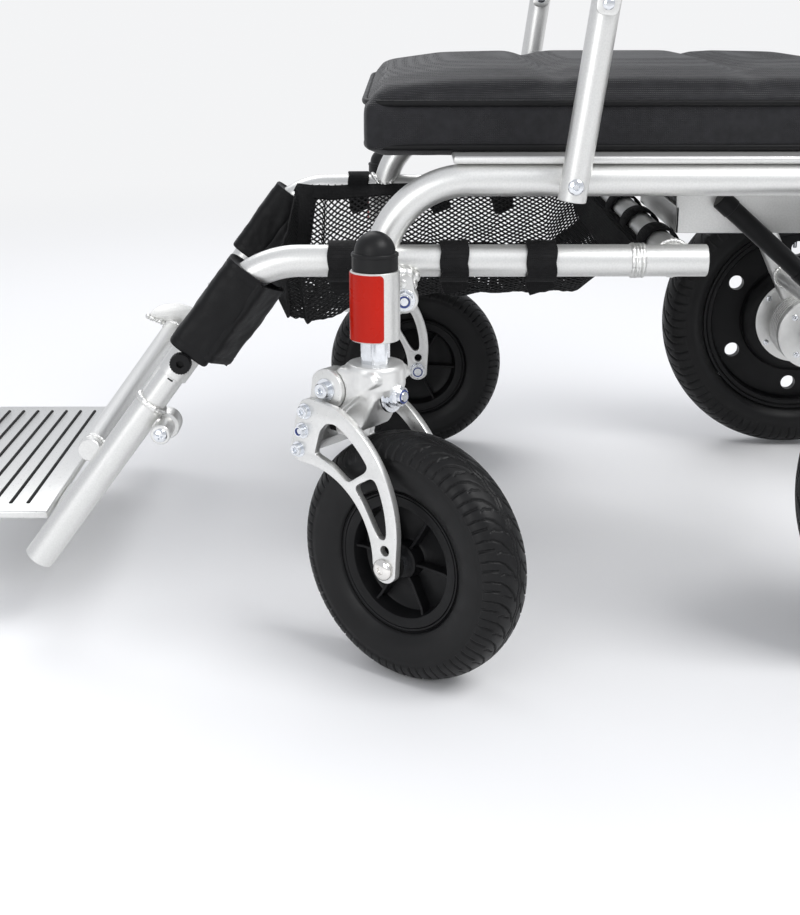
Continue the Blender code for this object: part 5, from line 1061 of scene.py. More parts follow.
def sewn(cloth, side, outline, top, bottom, seed):
    """A padded length of strap along the hanger: rolled ends, a sewn hem and soft creases."""
    count = 56
    section = smooth_line([*outline, outline[0]], 97)[:-1]
    tangents = np.roll(section, -1, axis=0) - np.roll(section, 1, axis=0)
    outward = np.stack([tangents[:, 1], -tangents[:, 0]], axis=1)
    outward /= np.linalg.norm(outward, axis=1)[:, None]
    turning = section[:, 0] * np.roll(section[:, 1], -1) - section[:, 1] * np.roll(section[:, 0], -1)
    outward *= np.sign(turning.sum())
    tucks = {-3: (0.003, 0.0), -2: (0.002, -0.001), -1: (0.0005, -0.0009)}
    rows = []
    for k in range(-3, count + 4):
        share = min(1.0, max(0.0, k / count))
        tuck, over = tucks.get(k, tucks.get(count - k, (0.0, 0.0)))
        over = -over if k > count else over
        hem = min(share, 1 - share) * (bottom - top)
        stitch = 0.0006 * max(0.0, 1 - abs(hem - 0.0056) / 0.0009)
        ring = []
        for (px, py), (ox, oy) in zip(section.tolist(), outward.tolist()):
            place = at(side * (RAIL_X + px), KNOB + HANGER * (top + (bottom - top) * share + over) + HANGER_BACK * py)
            crease = 0.0011 * noise.noise(Vector((place.x * 32, place.y * 60, place.z * 34 + 3 * side + seed)))
            crease += 0.0004 * noise.noise(place * 140.0)
            push = 0.0005 + crease * (1 - 0.5 * (hem < 0.004)) - stitch - tuck
            ring.append(place + Vector((side * ox, 0, 0)) * push + HANGER_BACK * (oy * push))
        rows.append(ring)
    cloth.rows(rows)


def calf_panel():
    """The sleeves and wings round both hangers and the sagging panel between them."""
    cloth = Solid()
    for side in (1, -1):
        sewn(cloth, side, WRAP, -0.0915, -0.009, 0.0)
        sewn(cloth, side, WING, -0.0892, -0.0146, 9.0)
    top, bottom, half = -0.0605, -0.012, 0.0037
    steps = [(bottom - top) * j / 16 for j in range(17)]
    section = [(top + step, half) for step in steps] + [(bottom - step, -half) for step in steps]
    rows = []
    for k in range(81):
        share = 2 * k / 80 - 1
        sag = 0.008 * (1 - share * share)
        ring = []
        for along, thick in section:
            hem = min(along - top, bottom - along)
            swell = 0.0009 if hem < 0.005 else 0.0
            place = at(share * 0.2175, KNOB + HANGER * along + HANGER_BACK * (0.0278 + sag))
            wave = 0.0022 * noise.noise(Vector((place.x * 14, place.z * 30, 0.0))) * (1 - share ** 4)
            ring.append(place + HANGER_BACK * (thick + swell * (1 if thick > 0 else -1) + wave))
        rows.append(ring)
    cloth.rows(rows)
    made = cloth.piece("calf_cloth", LEATHER, "frame", ["calf_panel"], angle=55)


# Leg screws and footrest

def leg_screw(side, name):
    """A black knob with its hexagon socket on the end of each hanger."""
    base = at(side * (RAIL_X + TUBE - 0.001), KNOB)
    out = aim(base, base + Vector((side, 0, 0)))
    knob = Solid().lathe([(0, 0), (0.007, 0), (0.0085, 0.0012), (lambda a: 0.0086 + 0.00022 * sin(24 * a), 0.0016),
                          (lambda a: 0.0086 + 0.00022 * sin(24 * a), 0.0074), (0.008, 0.0086), (0.005, 0.009),
                          (six(0.0058), 0.0088), (six(0.0058), 0.005), (0, 0.005)], out, 144)
    knob.piece(name + "leg_knob", PLASTIC, "frame", [name + "leg_screw"])


LOW = KNOB + HANGER * 0.205


def recess(angle):
    """The reach of a crosshead screw's recess at an angle."""
    turned = angle + 0.4
    return min(0.003, 0.0007 / max(0.01, min(abs(sin(turned)), abs(cos(turned)))))


def footrest():
    """The footrest's tubes, welds, stubs, slits as black patches of painted shade, far gusset, and the footplate."""
    metal, bead, screws, slit_shade = Solid(), Solid(), Solid(), Solid()
    high, ahead = KNOB + HANGER * 0.112, HANGER_BACK * -(TUBE + 0.0095 - 0.004)
    for span, place in ((RAIL_X - 0.001, high + ahead), (RAIL_X - 0.003, LOW)):
        metal.pipe([at(-span, place), at(span, place)], 0.0095)
    for side in (1, -1):
        x = side * RAIL_X
        weld = KNOB + HANGER * 0.046
        metal.pipe([at(x, KNOB - HANGER * 0.044), at(x, weld + HANGER * 0.01)], 0.011)
        metal.pipe([at(x, weld), at(x, LOW + HANGER * 0.012)], TUBE, 48, (0.0, 0.02))
        turn = [(cos(2 * pi * k / 40), sin(2 * pi * k / 40)) for k in range(40)]
        bead.weld([at(x + 0.0118 * c, weld + HANGER_BACK * (0.0118 * s)) for c, s in turn], 0.0026, seed=side)
        for place, back in ((high, -0.0168), (LOW, 0)):
            ring = [at(x - side * (0.0118 + 0.0015 * abs(c)),
                       place + HANGER * (0.01 * c) + HANGER_BACK * (0.01 * s + back)) for c, s in turn]
            bead.weld(ring, 0.0018, seed=3 * side)
        # Each slit is a thin black plastic patch on the tube with no hole cut: painted shade standing in for the
        # slit's dark gap.
        slit = [KNOB + HANGER * (0.018 + a) + HANGER_BACK * (0.001 + b)
                for a, b in ((-0.0006, -0.0024), (0.0006, -0.0024), (0.0006, 0.0024), (-0.0006, 0.0024))]
        slit_shade.plate([[tuple(p.yz) for p in slit]], x + side * 0.01, x + side * 0.0113, 0.0002)
        stub = KNOB + HANGER * 0.058 + HANGER_BACK * 0.0204
        metal.lathe([(0, 0), (0.0074, 0), (0.0062, 0.006), (0.0062, 0.018), (0, 0.018)],
                    aim(at(x, stub - HANGER_BACK * 0.018), at(x, stub)), 32)
        rod = facing(side * 0.205, stub)
        metal.lathe([(0, 0), (0.0076, 0), (0.0082, 0.0008), (0.0082, 0.0456), (0.0074, 0.0466), (0.004, 0.047),
                     (0, 0.047)], rod, 48)
        metal.lathe([(0.008, 0.0015), (0.0098, 0.0015), (0.0121, 0.0038), (0.0121, 0.0172), (0.011, 0.02),
                     (0.008, 0.0212)], rod, 48, closed=True)
        screws.lathe([(0, 0), (0.0058, 0), (0.0056, 0.0012), (0.004, 0.0026), (recess, 0.003), (recess, 0.0008),
                      (0, 0.0006)], rod @ move(0, 0, 0.0468), 96)
    gusset = [(-0.2655, 0.1705), (-0.261, 0.1785), (-0.252, 0.1838), (-0.241, 0.1862), (-0.229, 0.1858),
              (-0.218, 0.1825), (-0.211, 0.178), (-0.216, 0.166), (-0.233, 0.1585), (-0.2473, 0.1625)]
    metal.plate([rounded(gusset, 0.008)], -0.2324, -0.2288, 0.0005)
    foot = [(-0.266, 0.1712), (-0.256, 0.1667), (-0.2473, 0.1634), (-0.24, 0.16)]
    bead.weld([(-0.2278, *p) for p in foot] + [(-0.2334, *p) for p in reversed(foot)], 0.0022, 1.6, seed=7.0)
    # The slit patches are painted shade in black plastic.
    slit_shade.piece("footrest_slit_shade", PLASTIC, "footrest", slot="footrest_frame")
    metal.piece("footrest_tubes", SILVER, "footrest", ["footrest_frame"])
    bead.piece("footrest_welds", WELD, "footrest", slot="footrest_frame", angle=60)
    screws.piece("footrest_screws", ZINC, "footrest", slot="footrest_frame")
    z, front = LOW.z + 0.0105, LOW.y - 0.144
    plate = Solid().box((-0.17, front, z - 0.008), (0.17, LOW.y - 0.0125, z), 0.0022)
    for side in (1, -1):
        hold = facing(side * 0.095, LOW)
        plate.lathe([(0.01, 0), (0.013, 0), (0.0136, 0.0006), (0.0136, 0.0394), (0.013, 0.04), (0.01, 0.04)],
                    hold, 48, closed=True)
    plate.piece("footplate_skin", MACHINED, "foot_flap", ["footplate"])
    grips = Solid()
    for k in range(7):
        y = front + 0.016 + 0.0155 * k
        grips.pipe([(-0.15, y, z - 0.0004), (0.15, y, z - 0.0004)], 0.0018, 12)
    grips.piece("footplate_ribs", RUBBER, "foot_flap", slot="footplate")


# Cushions: the CAD form, puffed as cloth, with piping round its edges

def puffed(name, node_name, material, body, most):
    """A cushion from its CAD node, puffed outwards by up to most as cloth under pressure."""
    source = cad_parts[node_name]
    mesh = source.data.copy()
    mesh.transform(source.matrix_world)
    made = bpy.data.objects.new(name, mesh)
    dress(made, material, body, [node_name], angle=0, modifiers=[("REMESH", {"mode": "VOXEL", "voxel_size": 0.0055})])
    rest = np.array([v.co for v in made.data.vertices])
    cloth = made.modifiers.new("Cloth", "CLOTH")
    cloth.settings.quality = 5
    cloth.settings.mass = 0.3
    cloth.settings.tension_stiffness = cloth.settings.compression_stiffness = 12
    cloth.settings.shear_stiffness = 5
    cloth.settings.bending_stiffness = 0.3
    cloth.settings.use_pressure = True
    cloth.settings.uniform_pressure_force = 4.0
    cloth.settings.shrink_min = -0.012
    cloth.settings.effector_weights.gravity = 0.0
    cloth.point_cache.frame_start, cloth.point_cache.frame_end = 1, 20
    scene = bpy.context.scene
    for step in range(1, 21):
        scene.frame_set(step)
    seen = made.evaluated_get(bpy.context.evaluated_depsgraph_get())
    moved = bpy.data.meshes.new_from_object(seen)
    made.modifiers.clear()
    scene.frame_set(1)
    swing = np.array([v.co for v in moved.vertices]) - rest
    outward = np.array([v.normal for v in made.data.vertices])
    push = np.clip((swing * outward).sum(axis=1), 0.0, most)
    made.data.vertices.foreach_set("co", (rest + outward * push[:, None]).ravel())
    shape(made, ("SMOOTH", {"factor": 0.5, "iterations": 2}), ("SUBSURF", {"levels": 1}))
    made.data.shade_smooth()
    return made


def seat():
    """The seat's cover, with a cord of piping round its lower and upper edges."""
    puffed("seat_cover", "seat_cushion", SEAT, "frame", 0.0045)
    half, front, rear, base = 0.213, -0.01, 0.446, 0.399
    middle, deep = (front + rear) / 2, (rear - front) / 2
    cord = Solid()
    for z, inset in ((base + 0.0035, 0.0015), (base + 0.0375, 0.0005)):
        ring = []
        for t in (2 * pi * k / 240 for k in range(240)):
            px, py = (abs(share) ** 0.1 * (1 if share > 0 else -1) for share in (cos(t), sin(t)))
            draw = 1.0 - 0.018 * (1 - py * py)
            ring.append(Vector((px * (half - inset) * draw, middle + py * (deep - inset), z)))
        cord.pipe(even_loop(ring, 0.006), 0.0026, 14, closed=True)
    cord.piece("seat_piping", LEATHER, "frame", slot="seat_cushion", angle=0)


basket()
calf_panel()
footrest()
for side, name in SIDES:
    leg_screw(side, name)
seat()
puffed("back_cover", "back_cushion", SEAT, "back", 0.0035)

# Rear frame: legs, drive wheels, anti-tip wheels, brake levers and the fold strut

LEG_X, DRIVE_X = 0.258, 0.306
REAR_HINGE, REAR_AXLE, TIP = (Vector((0.0, *spot)) for spot in ((0.372, SEAT_RAIL_Z), (0.48, 0.155), (0.57, 0.07)))
LEG = (REAR_AXLE - REAR_HINGE).normalized()
REAR_CROSS = REAR_HINGE + LEG * 0.185


def rear_leg(side, name):
    """A rear leg with its anti-tip arm, bolts, welds, plugs and brake drum."""
    x = side * LEG_X
    metal, bolts, insert, bead, dark, drum = (Solid() for _ in range(6))
    top, foot = at(x, REAR_HINGE - LEG * 0.014), at(x, REAR_AXLE + LEG * 0.016)
    metal.pipe([top, foot], TUBE, 56)
    arm = bent([at(x, REAR_AXLE), (x, 0.522, 0.096), at(x, TIP)], 0.03)
    metal.pipe(arm, 0.0095, 40)
    metal.bar(at(side * (RAIL_X + TUBE + 0.0003), REAR_HINGE), at(x, REAR_HINGE), 0.009)
    metal.bar(at(x + side * 0.004, REAR_AXLE), at(side * 0.278, REAR_AXLE), 0.0115)
    arm_way = (arm[-1] - arm[-2]).normalized()
    for start, way, size in ((top, -LEG, 0.0112), (foot, LEG, 0.0112), (arm[-1], arm_way, 0.008)):
        dark.bar(start - way * 0.001, start + way * 0.0012, size)
    for start, end in ((0.197, 0.341), (0.3334, 0.3348)):
        bolts.bar(at(side * start, REAR_AXLE), at(side * end, REAR_AXLE), 0.008 if start < 0.3 else 0.0145, 0.0008)
    nylock(bolts, insert, facing(side * 0.3348, REAR_AXLE), 0.02, 0.003, 0.007, 0.0, 0.002)
    inner = facing(side * (RAIL_X - TUBE - 0.0003), REAR_HINGE, -1)
    washer(bolts, inner, 0.0088, 0.0043, 0.0008)
    nylock(bolts, insert, inner, 0.013, 0.004, 0.0042, 0.0008, 0.001)
    button_screw(bolts, facing(x + side * (TUBE - 0.0006), REAR_HINGE), 0.0075, 0.0042, 0.005)
    bolts.bar(at(side * 0.2205, TIP), at(x, TIP), 0.004, 0.0003)
    button_screw(bolts, facing(side * 0.221, TIP, -1), 0.0078, 0.0032, 0.0045)
    profile = [(0, 0), (0.037, 0), (0.04, 0.002), (0.04, 0.008)]
    for k in range(5):
        profile += [(0.04, 0.0115 + 0.0062 * k), (0.0372, 0.012 + 0.0062 * k), (0.0372, 0.0145 + 0.0062 * k),
                    (0.04, 0.015 + 0.0062 * k)]
    drum.lathe(profile + [(0.04, 0.043), (0.038, 0.045), (0, 0.045)],
               facing(side * 0.207, REAR_AXLE), 96)
    for k in range(4):
        spot = REAR_AXLE + Vector((0, 0.03 * cos(k * pi / 2 + 0.9), 0.03 * sin(k * pi / 2 + 0.9)))
        button_screw(bolts, facing(side * 0.2072, spot, -1), 0.0036, 0.0014, 0.0022)
    root = at(x, REAR_AXLE + (arm[1] - arm[0]).normalized() * 0.0135)
    for place, radius, size in ((facing(x - side * (TUBE + 0.0002), REAR_HINGE, -1), 0.0098, 0.0016),
                                (facing(x - side * TUBE, REAR_CROSS, -1), 0.012, 0.002),
                                (aim(root, arm[1]), 0.0105, 0.0022)):
        bead.weld([place @ Vector((radius * c, radius * s, 0)) for c, s in TURNS], size, seed=side * size * 900)
    metal.piece(name + "rear_leg_skin", SILVER, "rear_frame", [name + "rear_leg"])
    pieces("rear_frame", name + "rear_leg", (bolts, name + "rear_bolts", ZINC),
           (insert, name + "rear_inserts", NYLON), (bead, name + "rear_welds", WELD),
           (dark, name + "rear_plugs", CAP), (drum, name + "brake_drum", CAST))


def drive_wheel(side, name):
    """A drive wheel: its hub with ribs and round windows, covers, screws and tyre."""
    place = SHIFT @ Matrix.Translation(at(side * DRIVE_X, REAR_AXLE))
    body = name + "drive_wheel"
    half = [(0.0084, 0.0266), (0.019, 0.0266), (0.02, 0.027), (0.05, 0.027), (0.0528, 0.0262), (0.061, 0.0198),
            (0.062, 0.018), (0.062, 0.008), (0.0636, 0.006), (0.0955, 0.0042), (0.0968, 0.0062), (0.0976, 0.0162),
            (0.099, 0.0177), (0.103, 0.018), (0.104, 0.0172), (0.105, 0.0184), (0.1076, 0.0189), (0.108, 0.018)]
    hub = Solid(place).lathe(mirrored(half), ALONG_X, 144, closed=True)
    for k in range(12):
        turn = spin(30.0 * k + 15.0, "X")
        for face in (1, -1):
            hub.box((face * 0.004, -0.0011, 0.06), (face * 0.015, 0.0011, 0.0985), 0.0004, turn)
    made = hub.piece(body + "_hub", PLASTIC, body, [name + "drive_hub"])
    windows = Solid(place)
    for k in range(6):
        turn = spin(60.0 * k, "X")
        windows.lathe([(0, -0.05), (0.0084, -0.05), (0.0084, 0.05), (0, 0.05)],
                      turn @ move(0, 0, 0.08) @ ALONG_X, 40)
    carve_out(made, windows)
    metal, cover = Solid(place), Solid(place)
    for face in (1, -1):
        out = aim((face * 0.0266, 0, 0), (face * 0.05, 0, 0))
        cover.lathe([(0.022, 0), (0.022, 0.0008), (0.0225, 0.0011), (0.0485, 0.0011), (0.049, 0.0008), (0.049, 0)],
                    out, 96, closed=True)
        for k in range(5):
            spot = Matrix.Rotation(2 * pi * k / 5, 4, "Z") @ move(0.044, 0, 0.0011)
            button_screw(metal, out @ spot, 0.0034, 0.0014, 0.002)
    metal.bar((side * 0.013, 0, 0.0965), (side * 0.013, 0, 0.078), 0.0027, 0.0005, 24)
    pieces(body, name + "drive_hub", (metal, body + "_screws", ZINC), (cover, body + "_cover", CAST))
    half = [(0.1083, 0.0189), (0.111, 0.0225), (0.1183, 0.0267), (0.127, 0.027), (0.1365, 0.0257), (0.144, 0.0215),
               (0.1492, 0.014), (0.1519, 0.0065), (0.1525, 0.0)]
    count, rows = ((880, 150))
    skin = Solid(place).rows(tyre(half, rows, count, tread(0.1525, 44, 1.2)), True)
    skin.piece(body + "_tyre", TYRE, body, [name + "drive_tyre"], angle=0)


def tip_wheel(side, name):
    place = SHIFT @ Matrix.Translation(at(side * (LEG_X - 0.022), TIP)) @ ALONG_X
    for word, material, nodes, half in (
            ("tread", RUBBER, [name + "tip_wheel"],
             [(0.0165, 0.0094), (0.0175, 0.0099), (0.0215, 0.0099), (0.0238, 0.0085), (0.025, 0.005), (0.025, 0.0012),
              (0.0243, 0.0006)]),
            ("core", PLASTIC, [],
             [(0.0044, 0.01), (0.008, 0.01), (0.0085, 0.0082), (0.015, 0.0078), (0.0156, 0.0092), (0.0168, 0.0093)])):
        ring = Solid(place).lathe(mirrored(half), steps=80, closed=True)
        ring.piece(name + "tip_" + word, material, name + "tip_roller", nodes, name + "tip_wheel")


def brake_lever(side, name):
    x = side * 0.2015
    lever, tip = Solid(), REAR_AXLE + Vector((0, 0.055, 0.03))
    lever.bar(at(x - 0.0045, REAR_AXLE), at(x + 0.0045, REAR_AXLE), 0.015, 0.0012, 64, 0.0084)
    way = (tip - REAR_AXLE).normalized()
    line = [at(x, REAR_AXLE + way * (0.0125 + 0.0028 * k)) for k in range(19)]
    sizes = [0.004 - 0.0008 * sin(pi * min(1.0, k / 11)) + 0.0006 * max(0.0, sin(pi * (k - 11) / 8))
             for k in range(19)]
    lever.pipe(line, sizes, 32)
    lever.piece(name + "lever_skin", PLASTIC, name + "lever", [name + "brake_lever"])


def rear_cross():
    """The tube between the rear legs with the strut's lug."""
    half, eye = LEG_X - TUBE - 0.0003, STRUT_END - Vector((0.0155, 0, 0))
    lug = Solid().pipe([at(-half, REAR_CROSS), at(half, REAR_CROSS)], 0.011, 48)
    lug.bar(at(eye.x, REAR_CROSS), eye, 0.0036)
    lug.bar(eye - Vector((0.004, 0, 0)), eye + Vector((0.004, 0, 0)), 0.009, 0.0008, 48)
    lug.piece("rear_cross_skin", SILVER, "rear_frame", ["rear_cross_tube"])
    way = aim(at(eye.x, REAR_CROSS), eye) @ move(0, 0, 0.0112)
    bead = Solid().weld([way @ Vector((0.0042 * c, 0.0042 * s, 0)) for c, s in TURNS], 0.0016)
    bead.piece("rear_cross_weld", WELD, "rear_frame", slot="rear_cross_tube")


STRUT_TOP = Vector((0.112, 0.3, 0.345))
STRUT_END = at(0.112, REAR_CROSS + (at(0.0, STRUT_TOP) - REAR_CROSS).normalized() * 0.02)


def strut():
    """The fold strut: a black tube with end collars and a bright rod with its eye."""
    line = (STRUT_END - STRUT_TOP).normalized()
    outer = aim(STRUT_TOP - line * 0.006, STRUT_TOP + line)
    tube = Solid().lathe([(0, 0), (0.0078, 0), (0.009, 0.0012), (0.009, 0.014), (0.0084, 0.0146), (0.0084, 0.096),
                          (0.009, 0.0966), (0.009, 0.1095), (0.008, 0.111), (0.0054, 0.111), (0.0054, 0.1),
                          (0, 0.1)], outer, 64)
    tube.bar((0.0986, *STRUT_TOP.yz), STRUT_TOP, 0.006, 0.0004, 32)
    tube.piece("strut_tube_skin", PLASTIC, "strut_tube", ["fold_strut_tube"])
    rod = Solid().bar(STRUT_END - line * 0.108, STRUT_END + line * 0.007, 0.005, 0.0008, 40)
    rod.bar((0.101, *STRUT_END.yz), (0.118, *STRUT_END.yz), 0.008, 0.0008, 40)
    button_screw(rod, aim((0.1178, *STRUT_END.yz), (0.2, *STRUT_END.yz)), 0.006, 0.003, 0.0036)
    rod.piece("strut_rod_skin", POLISHED, "strut_rod", ["fold_strut_rod"])


# Seat pan with the battery's tray, and the battery

def seat_pan():
    pan = Solid().box((-0.24, 0.06, 0.3927), (0.24, 0.395, 0.3987), 0.0022)
    inner, outer, low, front = 0.0953, 0.0983, 0.3167, 0.2607
    for side in (1, -1):
        pan.box((side * inner, front, low), (side * outer, 0.395, 0.3947), 0.0008)
        pan.box((side * (inner - 0.022), front, low), (side * (inner + 0.001), 0.395, low + 0.003), 0.0008)
    pan.box((-outer, front, low), (outer, 0.2637, 0.34), 0.0008)
    pan.piece("seat_pan_skin", SILVER, "frame", ["seat_pan"])
    rivets = Solid()
    for x in (-0.19, -0.15, 0.15, 0.19):
        for y in (0.085, 0.165, 0.245, 0.325, 0.375):
            rivets.lathe([(0, 0), (0.004, 0), (0.0034, 0.0008), (0.0018, 0.0014), (0, 0.0015)],
                         aim((x, y, 0.3928), (x, y, 0.3)), 24)
    rivets.piece("seat_pan_rivets", ZINC, "frame", slot="seat_pan")


def battery():
    shell = Solid().box((-0.095, 0.264, 0.32), (0.095, 0.405, 0.3462), 0.005, segments=5)
    shell.box((-0.095, 0.264, 0.3474), (0.095, 0.405, 0.374), 0.005, segments=5)
    shell.box((-0.0938, 0.2652, 0.33), (0.0938, 0.4038, 0.362), 0.002)
    for x in (-0.0055, 0.0055):
        shell.box((x * 14 - 0.004, 0.4035, 0.33), (x * 14 + 0.004, 0.4062, 0.364), 0.0008)
    handle = [(-0.04, 0.403, 0.347), (-0.04, 0.4175, 0.347), (0.04, 0.4175, 0.347), (0.04, 0.403, 0.347)]
    shell.pipe(bent(handle, 0.008), 0.0052, 32)
    shell.piece("battery_shell", PLASTIC, "battery_pack", ["battery"])
    grip = Solid().bar((-0.029, 0.4175, 0.347), (0.029, 0.4175, 0.347), 0.0057, 0.0008, 40)
    for k in range(9):
        grip.bar((-0.0265 + 0.0062 * k, 0.4175, 0.347), (-0.0235 + 0.0062 * k, 0.4175, 0.347), 0.0063, 0.0006, 40)
    grip.piece("battery_grip", GRIP, "battery_pack", slot="battery")
    socket = Solid().lathe([(0.003, 0), (0.003, 0.0012), (0.0052, 0.0014), (0.0058, 0.0009), (0.0058, 0)],
                           aim((0.064, 0.4048, 0.333), (0.064, 0.5, 0.333)), 48, closed=True)
    socket.bar((0.064, 0.4045, 0.333), (0.064, 0.4056, 0.333), 0.0012, 0.0002, 16)
    socket.piece("battery_socket", ZINC, "battery_pack", slot="battery")


# Back frame with its push handles

def back_frame():
    """The canes with their grips, the hinge plates and pins, and the bowed bar."""
    metal, plates, pins, grips, bars = (Solid() for _ in range(5))
    middle, inner = BACK_HINGE + CANE * 0.285, RAIL_X - 0.045
    near, bow = middle + CANE_BACK * 0.017, middle + CANE_BACK * 0.036
    bars.pipe(bent([at(-RAIL_X, near), at(-inner, bow), at(inner, bow), at(RAIL_X, near)], 0.03), 0.01, 40)
    for side in (1, -1):
        x = side * RAIL_X
        top = BACK_HINGE + CANE * 0.41
        end = top + Vector((0, 0.135, -0.018))
        metal.pipe(bent([at(x, BACK_HINGE + CANE * 0.02), at(x, top), at(x, end)], 0.05), TUBE, 56)
        way = (end - top).normalized()
        profile = [(0.0128, 0), (0.017, 0.0004), (0.0178, 0.002), (0.017, 0.0042)]
        for k in range(15):
            profile += [(0.0156, 0.006 + 0.0052 * k), (0.015, 0.0072 + 0.0052 * k), (0.015, 0.009 + 0.0052 * k),
                        (0.0156, 0.0102 + 0.0052 * k)]
        profile += [(0.0158, 0.085), (0.015, 0.0872), (0.01, 0.0882), (0, 0.0882), (0, 0.086)]
        start = at(x, end - way * 0.0868)
        grips.lathe(profile, aim(start, at(x, end)), 72)
        hinge_plates(plates, pins, x, (TUBE + 0.0003, TUBE + 0.0043, TUBE + 0.0041), BACK_HINGE, 1,
                     (0.045, 0.01, 0.011), 0.006, ((0.006, 0.0028), (0.007, 0.0034)))
        reach = TUBE + 0.0045
        pins.bar(at(x - reach, BACK_HINGE), at(x + reach, BACK_HINGE), 0.0042, 0.0004)
    metal.piece("back_canes", SILVER, "back", ["back_frame"])
    pieces("back", "back_frame", (bars, "back_bar", SILVER), (plates, "back_hinge_plates", MACHINED),
           (pins, "back_pins", ZINC), (grips, "push_grips", GRIP))


# Armrests

ARM_PIVOT = BACK_HINGE + CANE * 0.165
POST_FOOT = BACK_HINGE + Vector((0, -0.33, SEAT_RAIL_Z - BACK_HINGE.z))
POST_HEAD = ARM_PIVOT + POST_FOOT - BACK_HINGE
ARM_X, PAD_X = 0.266, 0.269


def armrest(side, name):
    """An armrest's beam and pad, and its post with the fork at its head."""
    x = side * ARM_X
    beam, bolts, insert, dark = (Solid() for _ in range(4))
    ends = at(x, ARM_PIVOT + Vector((0, 0.013, 0))), at(x, POST_HEAD - Vector((0, 0, 0.011)))
    beam.pipe(bent([ends[0], (x, POST_HEAD.y, ARM_PIVOT.z), ends[1]], 0.06), 0.011, 48)
    beam.bar(at(side * (RAIL_X + TUBE + 0.0003), ARM_PIVOT), at(x, ARM_PIVOT), 0.0075)
    beam.piece(name + "arm_beam_skin", SILVER, name + "armrest", [name + "arm_beam"])
    dark.bar(ends[0] - Vector((0, 0.001, 0)), ends[0] + Vector((0, 0.0012, 0)), 0.0097)
    cross_pin(bolts, insert, side, ARM_PIVOT, 0.003)
    low = ARM_PIVOT.z + 0.0113
    middle = side * PAD_X
    pad = Solid().box((middle - 0.0225, 0.212, low + 0.0062), (middle + 0.0225, 0.474, low + 0.028), 0.0095,
                      segments=7)
    pad.piece(name + "arm_pad_skin", GRIP, name + "armrest", [name + "arm_pad"], angle=50)
    dark.box((middle - 0.0215, 0.213, low), (middle + 0.0215, 0.473, low + 0.0072), 0.0012)
    pieces(name + "armrest", name + "arm_beam", (bolts, name + "arm_bolts", ZINC),
           (insert, name + "arm_pin_insert", NYLON), (dark, name + "arm_pad_base", PLASTIC))
    post, plates, pins, nuts = (Solid() for _ in range(4))
    post.pipe([at(x, POST_FOOT - CANE * 0.012), at(x, POST_HEAD - CANE * 0.0175)], 0.011, 48)
    post.bar(at(side * (RAIL_X + TUBE + 0.0003), POST_FOOT), at(x - side * 0.002, POST_FOOT), 0.008)
    hinge_plates(plates, pins, x, (0.0113, 0.0143, 0.0142), POST_HEAD, -1, (0.04, 0.008, 0.008), 0.005,
                 ((0.0045, 0.002), (0.0055, 0.0024)))
    pins.bar(at(x - 0.0145, POST_HEAD), at(x + 0.0145, POST_HEAD), 0.004, 0.0003)
    cross_pin(pins, nuts, side, POST_FOOT, 0.0034)
    post.piece(name + "post_skin", SILVER, name + "post", [name + "arm_post"])
    pieces(name + "post", name + "arm_post", (plates, name + "post_plates", MACHINED),
           (pins, name + "post_pins", ZINC), (nuts, name + "post_insert", NYLON))


# Controller: its housing, wells, bracket, stick and buttons

CONTROL_TOP, STICK_Y, BUTTON_Y, BUTTON_OUT = 0.73, 0.1, 0.145, 0.011


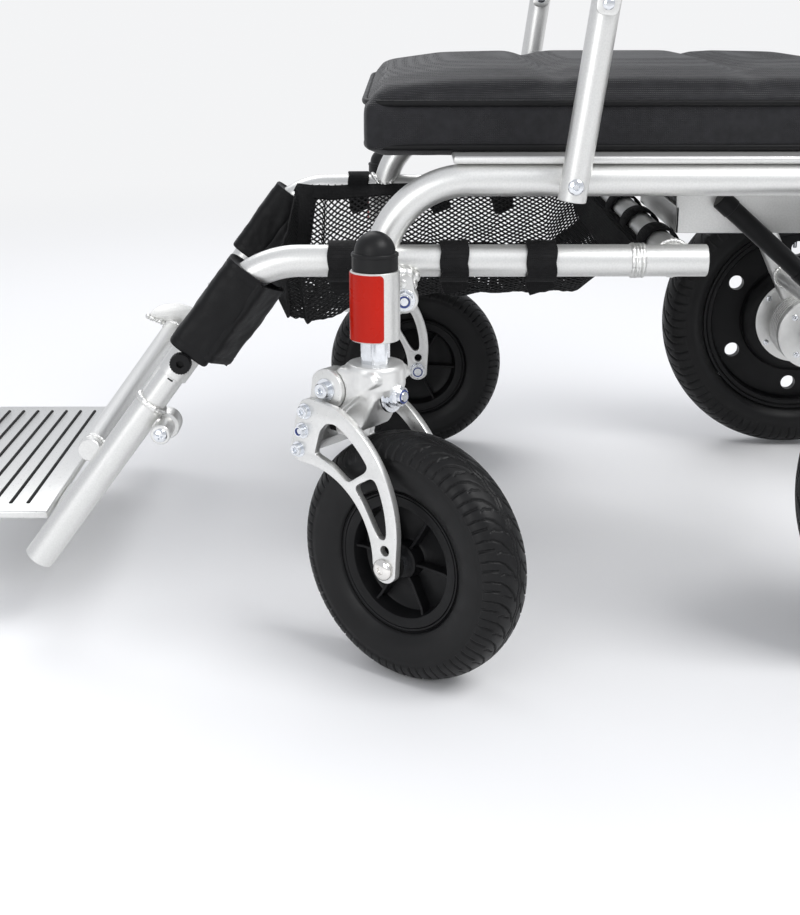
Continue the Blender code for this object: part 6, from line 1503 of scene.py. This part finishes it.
def controller():
    """The controller on the right armrest: shell, bracket, lamps, stick and buttons."""
    x, leg = -ARM_X, POST_HEAD.y
    shell = Solid().box((x - 0.026, 0.06, 0.694), (x + 0.026, 0.168, 0.7105), 0.006, segments=5)
    shell.box((x - 0.026, 0.06, 0.7117), (x + 0.026, 0.168, CONTROL_TOP), 0.007, segments=6)
    shell.box((x - 0.025, 0.061, 0.7), (x + 0.025, 0.167, 0.722), 0.004)
    made = shell.piece("controller_shell", PLASTIC, "right_armrest", ["controller"])
    wells = Solid().bar((x, STICK_Y, CONTROL_TOP - 0.016), (x, STICK_Y, CONTROL_TOP + 0.01), 0.014, 0.0003, 64)
    for key in (x - BUTTON_OUT, x + BUTTON_OUT):
        wells.bar((key, BUTTON_Y, CONTROL_TOP - 0.006), (key, BUTTON_Y, CONTROL_TOP + 0.01), 0.0064, 0.0002, 48)
    carve_out(made, wells)
    dark, bright, lamps = Solid(), Solid(), Solid()
    ring = move(x, STICK_Y, CONTROL_TOP - 0.0002)
    dark.lathe([(0.0142, 0), (0.0142, 0.001), (0.015, 0.0018), (0.0175, 0.0016), (0.019, 0)], ring, 80, closed=True)
    for k in range(5):
        left = x - 0.0124 + 0.0054 * k
        lamps.box((left, 0.1272, CONTROL_TOP - 0.0006), (left + 0.0032, 0.13, CONTROL_TOP + 0.0004), 0.0003)
    clamp_low, clamp_high = POST_HEAD.z + 0.03, POST_HEAD.z + 0.054
    bright.bar((x, leg, clamp_low), (x, leg, clamp_high), 0.016, 0.001, 72, 0.0113)
    bright.box((x - 0.006, leg - 0.046, clamp_low + 0.003), (x + 0.006, leg - 0.012, clamp_high - 0.003), 0.0015)
    bright.pipe([(x, leg - 0.04, clamp_low + 0.005), (x, leg - 0.04, 0.6945)], 0.006, 40)
    bright.lathe([(0, 0), (0.013, 0), (0.013, 0.0015), (0.0075, 0.004), (0.0062, 0.008), (0, 0.008)],
                 aim((x, leg - 0.04, 0.6942), (x, leg - 0.04, 0.6)), 48)
    for height in (0.0075, 0.0165):
        spot = Vector((x - 0.006, leg - 0.023, clamp_low + height))
        socket_screw(bright, aim(spot, spot - Vector((1, 0, 0))), 0.003, 0.003, 0.0026)
    pieces("right_armrest", "controller", (dark, "controller_bezel", RUBBER), (bright, "controller_bracket", SILVER),
           (lamps, "controller_lamps", LAMP))
    centre = Vector((x, STICK_Y, CONTROL_TOP - 0.016 + 0.0073))
    ball = [(0.007 * sin(radians(6 * k)), -0.007 * cos(radians(6 * k))) for k in range(1, 30)]
    gimbal = Solid().lathe([(0, -0.007)] + ball + [(0, 0.007)], Matrix.Translation(centre), 48)
    gimbal.piece("gimbal_ball", RUBBER, "gimbal", ["joystick_gimbal"])
    knots = [(0.003, 0.001), (0.0031, 0.015), (0.0044, 0.0225), (0.0088, 0.0288), (0.0113, 0.0355), (0.0107, 0.0415),
             (0.007, 0.045), (0.0004, 0.046)]
    line = [tuple(p) for p in smooth_line(knots, 40)]
    foot = Matrix.Translation(centre + Vector((0, 0, 0.0073)))
    stick = Solid().lathe([(0, 0), (0.003, 0), *line, (0, 0.046)], foot, 72)
    dome = [(0.0125 * sin(radians(a)), 0.0125 * cos(radians(a))) for a in range(14, 76, 3)]
    hood = [(0.0115 * sin(radians(a)), 0.0115 * cos(radians(a))) for a in range(74, 12, -3)]
    stick.lathe(dome + hood, Matrix.Translation(centre), 72, closed=True)
    stick.piece("joystick_skin", PLASTIC, "stick", ["joystick"])
    for word, sign in (("power", -1), ("horn", 1)):
        place = move(x + sign * BUTTON_OUT, BUTTON_Y, CONTROL_TOP)
        key = Solid().lathe([(0, -0.0035), (0.006, -0.0035), (0.006, 0.001), (0.0054, 0.0017), (0.0046, 0.0018),
                             (0.0036, 0.0013), (0, 0.0011)], place, 56)
        key.piece(word + "_key_skin", GRIP, word + "_key", [word + "_button"])


for side, name in SIDES:
    rear_leg(side, name)
    drive_wheel(side, name)
    tip_wheel(side, name)
    brake_lever(side, name)
    armrest(side, name)
rear_cross()
strut()
seat_pan()
battery()
back_frame()
controller()

bpy.context.view_layer.update()
